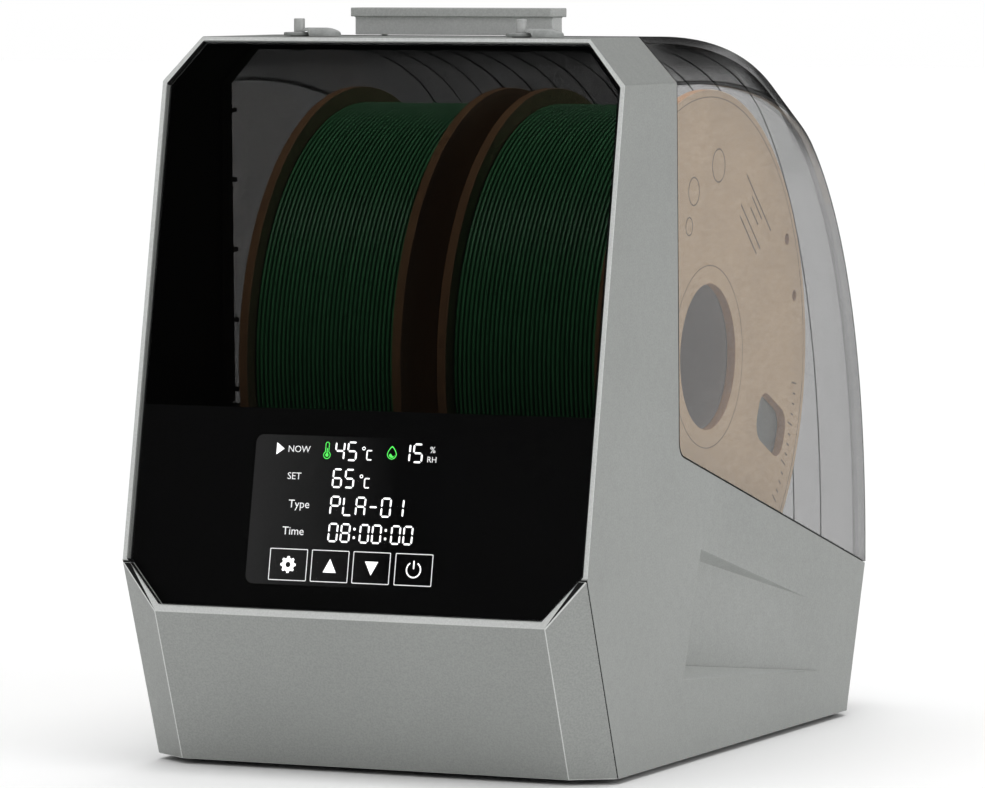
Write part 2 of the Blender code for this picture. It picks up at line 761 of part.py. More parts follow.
def make_handle():
    stem_low = BODY_TOP + GAP
    middle_y = (HANDLE_Y[0] + HANDLE_Y[1]) / 2
    stem = block(-HANDLE_STEM_HALF, HANDLE_STEM_HALF, *HANDLE_STEM_Y, stem_low, HANDLE_PLATE_Z[0] + 1.0)
    plan = round_rectangle(HANDLE_HALF, (HANDLE_Y[1] - HANDLE_Y[0]) / 2, 2.5, 3, (0.0, middle_y))
    plate = prism(plan, *HANDLE_PLATE_Z, along_z)
    screws = (-HANDLE_SCREW_X, HANDLE_SCREW_X)
    pilots = [cylinder(1.7, stem_low - 2.0, stem_low + 5.0, (x, HANDLE_SCREW_Y), along_z, 12) for x in screws]
    place("lid_handle", cut(join(stem, plate), *pilots), "housing_grey", pivot=(0, *PIVOT))
    under = BODY_TOP - LID_THICK
    for side, x in zip(("left", "right"), screws):
        profile = [
            (0, under - 2.2),
            (2.4, under - 2.2),
            (2.8, under - 1.6),
            (2.8, under - GAP),
            (1.4, under - GAP),
            (1.4, stem_low + 4.5),
            (0, stem_low + 4.5),
        ]
        screw = turned(profile, (x, HANDLE_SCREW_Y), along_z, 12)
        place(f"handle_screw_{side}", screw, "steel", pivot=(0, *PIVOT), smooth=True)


# ---------------------------------------------------------------- hinge


def make_hinges():
    y, z = PIVOT
    lug = join(
        cylinder(BARREL_R, HINGE_X - LUG_HALF, HINGE_X + LUG_HALF, PIVOT, along_x, 20),
        block(HINGE_X - LUG_HALF, HINGE_X + LUG_HALF, y - 5.4, y, z - 2.4, z + 2.0),
        block(HINGE_X - LUG_HALF, HINGE_X + LUG_HALF, y - 5.4, y - 3.1, z - 2.4, z + 16.0),
    )
    bore = cylinder(PIN_R + 0.08, HINGE_X - 30.0, HINGE_X + 30.0, PIVOT, along_x, 16)
    on_both_sides("hinge_lug", cut(lug, bore), "black_plastic", pivot=(0, *PIVOT))
    inner = LUG_HALF + GAP
    outer = inner + KNUCKLE
    pieces = []
    for side in (-1, 1):
        low, high = sorted((HINGE_X + side * inner, HINGE_X + side * outer))
        pieces.append(cylinder(BARREL_R, low, high, PIVOT, along_x, 20))
        pieces.append(block(low, high, y - 8.2, y, z - BARREL_R, z + 2.4))
    bar = block(HINGE_X - outer, HINGE_X + outer, y - 8.2, y - 6.0, z - 3.0, z + 2.4)
    on_both_sides("hinge_bracket", cut(join(bar, *pieces), bore), "black_plastic")
    length = LUG_HALF + GAP + KNUCKLE - 0.4
    pin = cylinder(PIN_R, HINGE_X - length, HINGE_X + length, PIVOT, along_x, 16)
    on_both_sides("hinge_pin", pin, "steel", smooth=True)


# ---------------------------------------------------------------- chamber tub, seals and rollers

ROLLER_REACH = SPOOL_R + ROLLER_R + GAP
ROLLER_Z = SPOOL_AXIS[1] - ROLLER_REACH * math.cos(ROLLER_ANGLE)
ROLLER_Y = {
    "front": SPOOL_AXIS[0] - ROLLER_REACH * math.sin(ROLLER_ANGLE),
    "rear": SPOOL_AXIS[0] + ROLLER_REACH * math.sin(ROLLER_ANGLE),
}
FLANGE_DROP = 3.6  # how far the tub's rim lies under the housing's rim
BOSS_END = 83.2


def tub_side(front_depth, floor_z, rear_shift, top_off):
    """Side view of the tub's outside or inside, up to its rim or past it."""
    front_low_s = panel_s(floor_z) + front_depth * LEAN_SIN / LEAN_COS
    front_low = on_panel(0, front_low_s, front_depth)
    shelf = TUB_SHELF_Z + top_off
    front_top_s = panel_s(shelf) + front_depth * LEAN_SIN / LEAN_COS
    front_top = on_panel(0, front_top_s, front_depth)
    (rear_low_y, rear_low_z), (rear_top_y, rear_top_z) = TUB_REAR
    slope = (rear_top_y - rear_low_y) / (rear_top_z - rear_low_z)
    back_z = rim_z(rear_top_y) - FLANGE_DROP + top_off
    return [
        (front_low[1], floor_z),
        (front_top[1], shelf),
        (84.0, shelf),
        (88.0, rim_z(88.0) - FLANGE_DROP + top_off),
        (rear_low_y + (back_z - rear_low_z) * slope - rear_shift, back_z),
        (rear_low_y + (floor_z - rear_low_z) * slope - rear_shift, floor_z),
    ]


def floor_slots(x0, x1, y0, y1, pitch, width):
    """A row of narrow slots across the tub's floor, which let air through."""
    slots = []
    y = y0
    while y + width <= y1:
        slots.append(block(x0, x1, y, y + width, TUB_FLOOR[0] - 5.0, TUB_FLOOR[1] + 5.0))
        y += pitch
    return slots


def make_tub():
    inner_half = TUB_HALF - TUB_WALL
    outside = prism(tub_side(TUB_FRONT_DEPTH[0], TUB_FLOOR[0], 0.0, 0.0), -TUB_HALF, TUB_HALF, along_x)
    ledge_half = HALF_WIDTH - WALL - 0.5
    ledge_side = [
        (84.0, TUB_SHELF_Z),
        (88.0, rim_z(88.0) - FLANGE_DROP),
        (TUB_REAR[1][0], rim_z(TUB_REAR[1][0]) - FLANGE_DROP),
        (TUB_REAR[1][0], rim_z(TUB_REAR[1][0]) - FLANGE_DROP - 2.2),
        (86.0, rim_z(86.0) - FLANGE_DROP - 2.2),
        (82.0, TUB_SHELF_Z),
    ]
    ledge = trimmed(
        prism(ledge_side, -ledge_half, ledge_half, along_x),
        ((ledge_half, 258.0, 0), (ledge_half, 258.0, 1), (TUB_HALF, TUB_REAR[1][0], 0)),
        (ledge_half, 290.0, 0),
    )
    ledge = trimmed(
        ledge,
        ((-ledge_half, 258.0, 0), (-ledge_half, 258.0, 1), (-TUB_HALF, TUB_REAR[1][0], 0)),
        (-ledge_half, 290.0, 0),
    )
    bosses = []
    holes = []
    for y in ROLLER_Y.values():
        bosses.append(cylinder(6.0, -BOSS_END, BOSS_END, (y, ROLLER_Z), along_x, 16))
        holes.append(cylinder(AXLE_R + 0.1, -BOSS_END + 1.5, BOSS_END - 1.5, (y, ROLLER_Z), along_x, 20))
    legs = [cylinder(4.5, 3.0, TUB_FLOOR[0] + 1.0, centre, along_z, 12) for centre in SCREW_PLACES]
    pilots = [cylinder(1.6, 1.0, 14.0, centre, along_z, 12) for centre in SCREW_PLACES]
    hollow = prism(tub_side(TUB_FRONT_DEPTH[1], TUB_FLOOR[1], TUB_WALL, 30.0), -inner_half, inner_half, along_x)
    pillars = []
    for y in ROLLER_Y.values():
        side = [(y - 9.0, TUB_FLOOR[0] + 0.5), (y + 9.0, TUB_FLOOR[0] + 0.5), (y + 5.5, ROLLER_Z + 6.0)]
        side.append((y - 5.5, ROLLER_Z + 6.0))
        pillars.append(prism(side, -2.5, 2.5, along_x))
    tub = cut(join(outside, ledge, *bosses), hollow)
    tub = join(tub, *legs, *pillars)
    blower_x, blower_y = BLOWER_CENTRE
    intake = floor_slots(blower_x - 22.0, blower_x + 22.0, blower_y - 8.0, blower_y + 24.0, 6.4, 3.4)
    exhaust = floor_slots(blower_x - 22.0, blower_x + 22.0, 228.0, 249.0, 6.4, 3.4)
    place("chamber_tub", cut(tub, *holes, *pilots, *intake, *exhaust), "black_plastic")


def make_rollers():
    for row, y in ROLLER_Y.items():
        axle = cylinder(AXLE_R, -BOSS_END + 1.9, BOSS_END - 1.9, (y, ROLLER_Z), along_x, 20)
        place(f"{row}_axle", axle, "steel", smooth=True)
        for side, sign in (("left", -1), ("right", 1)):
            near, far = ROLLER_SPAN
            profile = [
                (AXLE_R + 0.09, near),
                (ROLLER_R - 0.8, near),
                (ROLLER_R, near + 0.8),
                (ROLLER_R, far - 0.8),
                (ROLLER_R - 0.8, far),
                (AXLE_R + 0.09, far),
            ]
            roller = turned([(r, sign * x) for r, x in profile], (y, ROLLER_Z), along_x, 24)
            place(f"roller_{row}_{side}", roller, "roller_white", pivot=(0, y, ROLLER_Z), smooth=True)


SEAL_OUT = HALF_WIDTH - LID_THICK - 0.5
SEAL_THICK = 1.8
SEAL_RISE = 1.2
TRIM_THICK = 1.2
TRIM_FRONT_Y = 74.0


def frame_back_y(z):
    """Where the frame's rear edge lies at the height z."""
    low_y, low_z = FRAME_BACK_LOW
    return FRAME_BACK_TOP_Y + (low_y - FRAME_BACK_TOP_Y) * (BODY_TOP - z) / (BODY_TOP - low_z)


def make_frame_seal():
    """An arch of soft trim inside the frame, flush with its rear edge, with small tabs that reach past it."""
    off = HALF_WIDTH - SEAL_OUT
    half_top = TOP_HALF_WIDTH
    foot = TUB_SHELF_Z + 0.5
    outline = [
        (HALF_WIDTH, foot - off),
        (HALF_WIDTH, BODY_TOP - CHAMFER),
        (half_top, BODY_TOP),
        (-half_top, BODY_TOP),
        (-HALF_WIDTH, BODY_TOP - CHAMFER),
        (-HALF_WIDTH, foot - off),
    ]
    outer = inset(outline, off)
    inner = inset(outline, [off + TRIM_THICK] * 5 + [-10.0])
    arch = cut(prism(outer, TRIM_FRONT_Y, 90.0, along_y), prism(inner, 60.0, 100.0, along_y))
    edge = ((0, FRAME_BACK_TOP_Y, BODY_TOP), (1, FRAME_BACK_TOP_Y, BODY_TOP), (0, *FRAME_BACK_LOW))
    arch = trimmed(arch, edge, (0, 200.0, 200.0))
    tabs = []
    for z in (131.0, 157.0, 183.4, 209.6, 235.6):
        y = frame_back_y(z)
        for side in (-1, 1):
            low, high = sorted((side * (SEAL_OUT - TRIM_THICK), side * (SEAL_OUT - 0.2)))
            tabs.append(block(low, high, y - 2.5, y + 4.0, z - 0.9, z + 0.9))
    place("frame_seal", join(arch, *tabs), "black_rubber")


def make_rim_seal():
    """Soft trim that stands up inside the housing's slanted rim, down both sides and across the back."""
    corner = (79.5, 280.6)
    shoulder_y = 262.0
    half = [(SEAL_OUT, 88.8), (SEAL_OUT, shoulder_y), corner]
    outline = half + [(-x, y) for x, y in reversed(half)]
    outer = outline
    inner = inset(outline, [SEAL_THICK] * 5 + [-20.0])
    band = cut(prism(outer, 20.0, 200.0, along_z), prism(inner, 0.0, 220.0, along_z))
    low = GAP - FLANGE_DROP
    strip = [
        (80.0, rim_z(80.0) + low),
        (80.0, rim_z(80.0) + SEAL_RISE),
        (300.0, rim_z(300.0) + SEAL_RISE),
        (300.0, rim_z(300.0) + low),
    ]
    place("rim_seal", common(band, prism(strip, -120, 120, along_x)), "black_rubber")


# ---------------------------------------------------------------- spools


def flange_disc(low, high):
    """A card disc with its bore, a thumb slot and two small holes for the filament's end."""
    disc = cylinder(SPOOL_R, low, high, SPOOL_AXIS, along_x, 60)
    bore = cylinder(BORE_R, low - 5.0, high + 5.0, SPOOL_AXIS, along_x, 32)
    tools = [bore]
    for turn, reach in ((27.0, 90.0), (12.0, 90.0)):
        angle = math.radians(turn)
        centre = (SPOOL_AXIS[0] + reach * math.cos(angle), SPOOL_AXIS[1] + reach * math.sin(angle))
        tools.append(cylinder(2.1, low - 5.0, high + 5.0, centre, along_x, 12))
    angle = math.radians(-25.0)
    slot = []
    for u, v in round_rectangle(14.5, 9.5, 7.0, 3, (70.5, 0.0)):
        slot.append(
            (
                SPOOL_AXIS[0] + u * math.cos(angle) - v * math.sin(angle),
                SPOOL_AXIS[1] + u * math.sin(angle) + v * math.cos(angle),
            )
        )
    tools.append(prism(slot, low - 5.0, high + 5.0, along_x))
    return cut(disc, *tools)


def make_spools():
    pivot = (0, *SPOOL_AXIS)
    for side, centre in SPOOL_X.items():
        low, high = centre - SPOOL_WIDTH / 2, centre + SPOOL_WIDTH / 2
        place(f"{side}_spool_left_flange", flange_disc(low, low + FLANGE_THICK), "cardboard", pivot=pivot)
        place(f"{side}_spool_right_flange", flange_disc(high - FLANGE_THICK, high), "cardboard", pivot=pivot)
        inner_low, inner_high = low + FLANGE_THICK + GAP, high - FLANGE_THICK - GAP
        core = [(BORE_R, inner_low), (CORE_R, inner_low), (CORE_R, inner_high), (BORE_R, inner_high)]
        place(f"{side}_spool_core", turned(core, SPOOL_AXIS, along_x, 32), "cardboard", pivot=pivot, smooth=True)
        wound = [
            (CORE_R + GAP, inner_low),
            (WINDING_R, inner_low),
            (WINDING_R, inner_high),
            (CORE_R + GAP, inner_high),
        ]
        filament = turned(wound, SPOOL_AXIS, along_x, 60)
        place(f"{side}_filament", filament, "green_filament", pivot=pivot, smooth=True)


# ---------------------------------------------------------------- air path and electronics


def make_blower():
    x, y = BLOWER_CENTRE
    low, high = BLOWER_Z
    outline = rounded(
        rectangle(x - BLOWER_HALF, x + BLOWER_HALF, y - BLOWER_HALF, y + BLOWER_HALF), {0: 30.0, 1: 14.0, 3: 14.0}, 4
    )
    housing = prism(outline, low, high, along_z)
    scroll = cylinder(34.5, low + 2.0, high - 2.0, (x, y), along_z, 32)
    mouth = block(x - 24.0, x + 24.0, y + 5.0, y + 60.0, low + 2.0, high - 2.0)
    inlet = cylinder(23.0, high - 6.0, high + 6.0, (x, y), along_z, 32)
    post = cylinder(2.0, low + 1.0, low + 17.0, (x, y), along_z, 16)
    place("blower_housing", join(cut(housing, scroll, mouth, inlet), post), "black_plastic")

    floor = low + 3.2
    blades = 14
    bm = bmesh.new()
    steps = 2 * blades
    radii = (2.1, 12.0, 21.0, 30.5)
    heights = {"base": floor, "hub": floor + 15.5, "disc": floor + 1.6, "blade": floor + 19.0}

    def ring(radius, height):
        return [bm.verts.new((u, v, height)) for u, v in circle(radius, steps, (x, y))]

    under = [ring(radius, heights["base"]) for radius in (radii[0], radii[3])]
    hub = [ring(radii[0], heights["hub"]), ring(radii[1], heights["hub"]), ring(radii[1], heights["disc"])]
    inner, outer = ring(radii[2], heights["disc"]), ring(radii[3], heights["disc"])
    bands = [(under[0], under[1]), (under[0], hub[0]), (hub[0], hub[1]), (hub[1], hub[2]), (hub[2], inner)]
    bands.append((under[1], outer))
    for first, second in bands:
        for k in range(steps):
            bm.faces.new((first[k - 1], first[k], second[k], second[k - 1]))
    tops = []
    for k in range(steps):
        face = bm.faces.new((inner[k - 1], inner[k], outer[k], outer[k - 1]))
        if k % 2:
            tops.append(face)
    bmesh.ops.recalc_face_normals(bm, faces=bm.faces)
    grown = bmesh.ops.extrude_discrete_faces(bm, faces=tops)["faces"]
    lift = heights["blade"] - heights["disc"]
    for face in grown:
        bmesh.ops.translate(bm, verts=face.verts, vec=(0, 0, lift))
    place("blower_rotor", finished(bm), "black_plastic", pivot=(x, y, floor))


HEATER_Y = (160.0, 178.0)
DUCT_Y = (149.0, 252.0)
DUCT_Z = (4.0, 34.0)
DUCT_HALF = 27.0


def make_heater_and_duct():
    x = BLOWER_CENTRE[0]
    low, high = DUCT_Z
    body = block(x - DUCT_HALF, x + DUCT_HALF, *DUCT_Y, low, high)
    hollow = block(x - DUCT_HALF + 2.0, x + DUCT_HALF - 2.0, DUCT_Y[0] - 5.0, DUCT_Y[1] - 2.0, low + 2.0, high - 2.0)
    vent = block(x - DUCT_HALF + 2.0, x + DUCT_HALF - 2.0, 226.0, DUCT_Y[1] - 2.0, high - 6.0, high + 6.0)
    place("air_duct", cut(body, hollow, vent), "black_plastic")
    heater = block(x - DUCT_HALF + 2.4, x + DUCT_HALF - 2.4, *HEATER_Y, low + 2.4, high - 2.4)
    slots = []
    count = 9
    pitch = (2 * DUCT_HALF - 9.0) / count
    for k in range(count):
        slot_x = x - DUCT_HALF + 4.5 + pitch * (k + 0.5)
        slots.append(block(slot_x - 1.4, slot_x + 1.4, HEATER_Y[0] - 5.0, HEATER_Y[1] + 5.0, low + 4.5, high - 4.5))
    place("ptc_heater", cut(heater, *slots), "aluminium")


def make_electronics():
    board = block(10.0, 66.0, 96.0, 236.0, 8.0, 9.6)
    parts = [
        block(16.0, 40.0, 196.0, 226.0, 9.0, 27.0),
        block(46.0, 58.0, 200.0, 224.0, 9.0, 24.0),
        block(18.0, 36.0, 158.0, 182.0, 9.0, 25.0),
        cylinder(8.0, 9.0, 28.0, (54.0, 178.0), along_z, 20),
        cylinder(5.0, 9.0, 24.0, (54.0, 158.0), along_z, 16),
        block(16.0, 60.0, 110.0, 124.0, 9.0, 20.0),
        block(20.0, 34.0, 134.0, 146.0, 9.0, 13.0),
    ]
    legs = [block(x, x + 4.0, y, y + 4.0, 2.8, 8.5) for x in (11.0, 61.0) for y in (97.0, 231.0)]
    place("power_board", join(board, *parts, *legs), "board_green")

    s0, s1 = 60.0, 74.0
    depth = TUB_FRONT_DEPTH[1] + GAP
    sensor = prism(rectangle(s0, s1, 22.0, 46.0), depth, depth + 1.4, on_panel)
    chip = prism(rectangle(s0 + 4.0, s1 - 4.0, 30.0, 36.0), depth + 1.0, depth + 3.2, on_panel)
    place("humidity_sensor", join(sensor, chip), "board_green")


def make_inlet():
    """A three-pin mains inlet, set square to the leaning rear wall."""
    centre = (INLET_X, 0.0)
    bezel = prism(round_rectangle(15.5, 12.2, 2.0, 3, centre), -2.2, -GAP, on_rear)
    body = prism(round_rectangle(13.6, 10.1, 2.0, 3, centre), -1.5, 18.0, on_rear)
    mouth = [(-12.0, -8.0), (12.0, -8.0), (12.0, 4.5), (8.5, 8.0), (-8.5, 8.0), (-12.0, 4.5)]
    recess = prism([(INLET_X + u, v) for u, v in mouth], -10.0, 15.5, on_rear)
    pins = []
    for u, v in ((-7.0, -1.5), (7.0, -1.5), (0.0, 2.5)):
        pins.append(prism(rectangle(INLET_X + u - 1.0, INLET_X + u + 1.0, v - 2.0, v + 2.0), 3.6, 16.5, on_rear))
    place("power_inlet", join(cut(join(bezel, body), recess), *pins), "black_plastic")


def make_cables():
    x = INLET_X
    route = [
        on_rear(x, 0.0, 18.5),
        on_rear(x, 0.0, 21.5),
        on_rear(x - 1.0, -1.5, 25.0),
        (x - 3.0, 244.0, 20.0),
        (x - 5.0, 240.0, 15.0),
        (x - 6.0, 237.4, 12.6),
    ]
    place("inlet_wires", tube_along(route, 2.2, 8), "cable_grey", smooth=True)
    route = [(17.6, 62.0), (15.6, 44.0), (17.6, 33.0), (27.0, 27.0), (60.0, 23.0), (92.0, 16.0), (100.0, 12.5)]
    ribbon = []
    for y, z in route:
        ribbon.append((y, z + 0.4))
    for y, z in reversed(route):
        ribbon.append((y - 0.4, z - 0.4))
    place("display_ribbon", prism(ribbon, 22.0, 40.0, along_x), "cable_grey")


def tube_along(route, radius, sides):
    """A round tube with flat ends along a route of points."""
    sections = []
    points = [Vector(point) for point in route]
    for i, point in enumerate(points):
        ahead = points[min(i + 1, len(points) - 1)] - points[max(i - 1, 0)]
        ahead.normalize()
        across = ahead.cross(Vector((1, 0, 0))).normalized()
        third = ahead.cross(across).normalized()
        section = []
        for k in range(sides):
            angle = 2 * math.pi * k / sides
            section.append(point + radius * (math.cos(angle) * across + math.sin(angle) * third))
        sections.append(section)
    return loft(sections)


def main():
    for thing in list(bpy.data.objects):
        bpy.data.objects.remove(thing)
    glass = glass_outline()
    outer_outline = rounded(HOUSING_SIDE, {4: 6.0}, 4)
    chamber_outline = inset(HOUSING_SIDE, CHAMBER_INSETS)

    def outer():
        return housing_solid(outer_outline, 0.0)

    def chamber():
        return housing_solid(chamber_outline, WALL)

    def pocket():
        return prism(inset(glass, -GAP), -12.0, GLASS_THICK + GAP, on_panel)

    def window():
        return prism(inset(glass, [LEDGE_LOW] + [LEDGE] * 5 + [LEDGE_LOW] * 2), -12.0, 16.0, on_panel)

    make_main_shell(outer(), chamber(), pocket(), window())
    make_chin_cover(outer(), pocket(), window())
    make_rear_panel(outer(), chamber())
    make_bottom_plate()
    make_feet_and_screws()
    make_front()
    make_outlets()
    make_lid_cover()
    make_lid_sides()
    make_handle()
    make_hinges()
    make_tub()
    make_rollers()
    make_frame_seal()
    make_rim_seal()
    make_spools()
    make_blower()
    make_heater_and_duct()
    make_electronics()
    make_inlet()
    make_cables()


main()
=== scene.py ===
"""Looks for the filament dryer box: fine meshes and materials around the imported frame.

Shapes are drawn in millimetres in the body's own axes: X to the right, Y towards the back, Z up from the
body's underside, with Y = 0 on the front panel at the height PANEL_ZERO_Z. to_world() moves them into the
frame.
"""

import json
import math

import bmesh
import bpy
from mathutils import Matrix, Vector

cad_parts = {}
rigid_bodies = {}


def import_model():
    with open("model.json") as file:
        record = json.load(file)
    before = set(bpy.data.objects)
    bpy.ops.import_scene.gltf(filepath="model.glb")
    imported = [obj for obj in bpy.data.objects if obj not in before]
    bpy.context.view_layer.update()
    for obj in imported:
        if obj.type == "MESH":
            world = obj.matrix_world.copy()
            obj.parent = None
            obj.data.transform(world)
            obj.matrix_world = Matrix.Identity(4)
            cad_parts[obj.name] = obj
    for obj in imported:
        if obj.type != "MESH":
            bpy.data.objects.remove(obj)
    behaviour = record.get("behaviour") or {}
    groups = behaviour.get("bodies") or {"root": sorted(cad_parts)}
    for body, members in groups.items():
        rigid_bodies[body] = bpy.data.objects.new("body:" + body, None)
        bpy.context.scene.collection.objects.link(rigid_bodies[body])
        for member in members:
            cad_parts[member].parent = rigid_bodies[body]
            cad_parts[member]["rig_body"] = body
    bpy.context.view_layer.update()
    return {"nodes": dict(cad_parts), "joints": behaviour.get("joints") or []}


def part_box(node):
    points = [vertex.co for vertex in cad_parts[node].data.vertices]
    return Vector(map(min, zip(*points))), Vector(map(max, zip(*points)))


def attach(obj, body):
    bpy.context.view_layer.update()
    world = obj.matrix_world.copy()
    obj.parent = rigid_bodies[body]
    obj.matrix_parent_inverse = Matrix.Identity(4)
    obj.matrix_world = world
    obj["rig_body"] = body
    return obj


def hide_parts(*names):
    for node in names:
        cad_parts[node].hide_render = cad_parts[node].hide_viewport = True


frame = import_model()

MM = 0.001
JOINTS = {joint["name"]: joint for joint in frame["joints"]}
PIVOT = (291.2, 52.0)  # hinge line in the body's axes
ZERO_Y = JOINTS["lid_hinge"]["pos_m"][1] - PIVOT[0] * MM
ZERO_Z = JOINTS["lid_hinge"]["pos_m"][2] - PIVOT[1] * MM

# Housing and front panel
HALF_WIDTH = 92.1
TOP_HALF_WIDTH = 77.3
CHAMFER = 16.4
BODY_TOP = 263.7
PANEL_ZERO_Z = 74.8
CHIN_SEAM_Z = 73.6
LEAN = math.radians(10.92)
GLASS_Z = (58.9, 74.8, 246.2, 261.8)
GLASS_HALF = (75.6, 89.9, 76.4)
GLASS_THICK = 2.6

# Lid rim, as in the frame's lid: the start and end of its two curves and the lengths of their handles
FRAME_BACK_TOP_Y = 81.2
FRAME_BACK_LOW = (84.2, 112.0)
RIM_REAR = (274.6, 56.2)
RIM_START = (94.5, 247.3)
RIM_SHOULDER = (216.6, 221.1)
RIM_SHOULDER_ANGLE = math.radians(40.2)
RIM_END = (275.0, 58.8)
RIM_HANDLES = (65.4, 23.8, 49.9, 72.8)
RIM_STEPS = 26
LID_THICK = 2.5
LID_FRONT_GAP = 0.45
LID_RIM_GAP = 0.5
LID_FOOT_Z = 56.7
RIB_PITCH = 11.33
RIB_REACH = 6

# Spools
SPOOL_AXIS = (152.5, 143.4)
SPOOL_R = 100.0
BORE_R = 27.3
CORE_R = 40.0
WINDING_R = 94.0
STRAND = 1.75

OUTLET_Y = 50.0
OUTLET_X = (-44.4, 44.4)
HANDLE_PLATE_Z = 270.6  # underside of the handle's top plate
GRIP_TOP_Z = 40.0  # only the grips' floors look up and outwards below this height; they are lightened as painted light
DISPLAY_X = -1.1  # where the display's own axes start on the panel
DISPLAY_S = 0.4
WINDOW_LOW_S = 56.5  # lower edge of the clear part of the front glass


# ---------------------------------------------------------------- axes and outlines


def to_world(point):
    return Vector((point[0] * MM, point[1] * MM + ZERO_Y, point[2] * MM + ZERO_Z))


def from_world(point):
    return Vector((point.x / MM, (point.y - ZERO_Y) / MM, (point.z - ZERO_Z) / MM))


def node_box(node):
    """The two corners of a CAD node's box in the body's axes."""
    low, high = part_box(node)
    return from_world(low), from_world(high)


def panel_s(z):
    return (z - PANEL_ZERO_Z) / math.cos(LEAN)


def on_panel(x, s, depth):
    """Point at x, s up the front panel and depth behind it."""
    return (
        x,
        s * math.sin(LEAN) + depth * math.cos(LEAN),
        PANEL_ZERO_Z + s * math.cos(LEAN) - depth * math.sin(LEAN),
    )


def along_x(u, v, w):
    return (w, u, v)


def along_z(u, v, w):
    return (u, v, w)


def rim_z(y):
    (y0, z0), (y1, z1) = FRAME_BACK_LOW, RIM_REAR
    return z0 + (y - y0) * (z1 - z0) / (y1 - y0)


def rounded(outline, radii, steps=6):
    """The outline with the corners named in radii turned into arcs."""
    result = []
    count = len(outline)
    for i, corner in enumerate(outline):
        radius = radii.get(i, 0.0)
        if not radius:
            result.append(tuple(corner))
            continue
        point = Vector(corner)
        back = (Vector(outline[i - 1]) - point).normalized()
        ahead = (Vector(outline[(i + 1) % count]) - point).normalized()
        half = math.acos(max(-1.0, min(1.0, back.dot(ahead)))) / 2
        centre = point + (back + ahead).normalized() * radius / math.sin(half)
        start = point + back * radius / math.tan(half) - centre
        end = point + ahead * radius / math.tan(half) - centre
        for k in range(steps + 1):
            result.append(tuple(centre + start.lerp(end, k / steps).normalized() * radius))
    return result


def round_rectangle(u0, u1, v0, v1, radius, steps=6):
    return rounded([(u0, v0), (u1, v0), (u1, v1), (u0, v1)], {i: radius for i in range(4)}, steps)


def circle(radius, segments, centre=(0.0, 0.0)):
    turns = [2 * math.pi * i / segments for i in range(segments)]
    return [(centre[0] + radius * math.cos(a), centre[1] + radius * math.sin(a)) for a in turns]


def glass_outline(off=0.0):
    """The front glass's eight corners as x and s, standing in from its edge by off."""
    bottom, low, shoulder, top = (panel_s(z) for z in GLASS_Z)
    bottom_half, side_half, top_half = GLASS_HALF
    corner = off * math.tan(math.radians(22.5))
    half = [
        (bottom_half - corner, bottom + off),
        (side_half - off, low + corner),
        (side_half - off, shoulder - corner),
        (top_half - corner, top - off),
    ]
    return half + [(-x, s) for x, s in reversed(half)]


# ---------------------------------------------------------------- materials


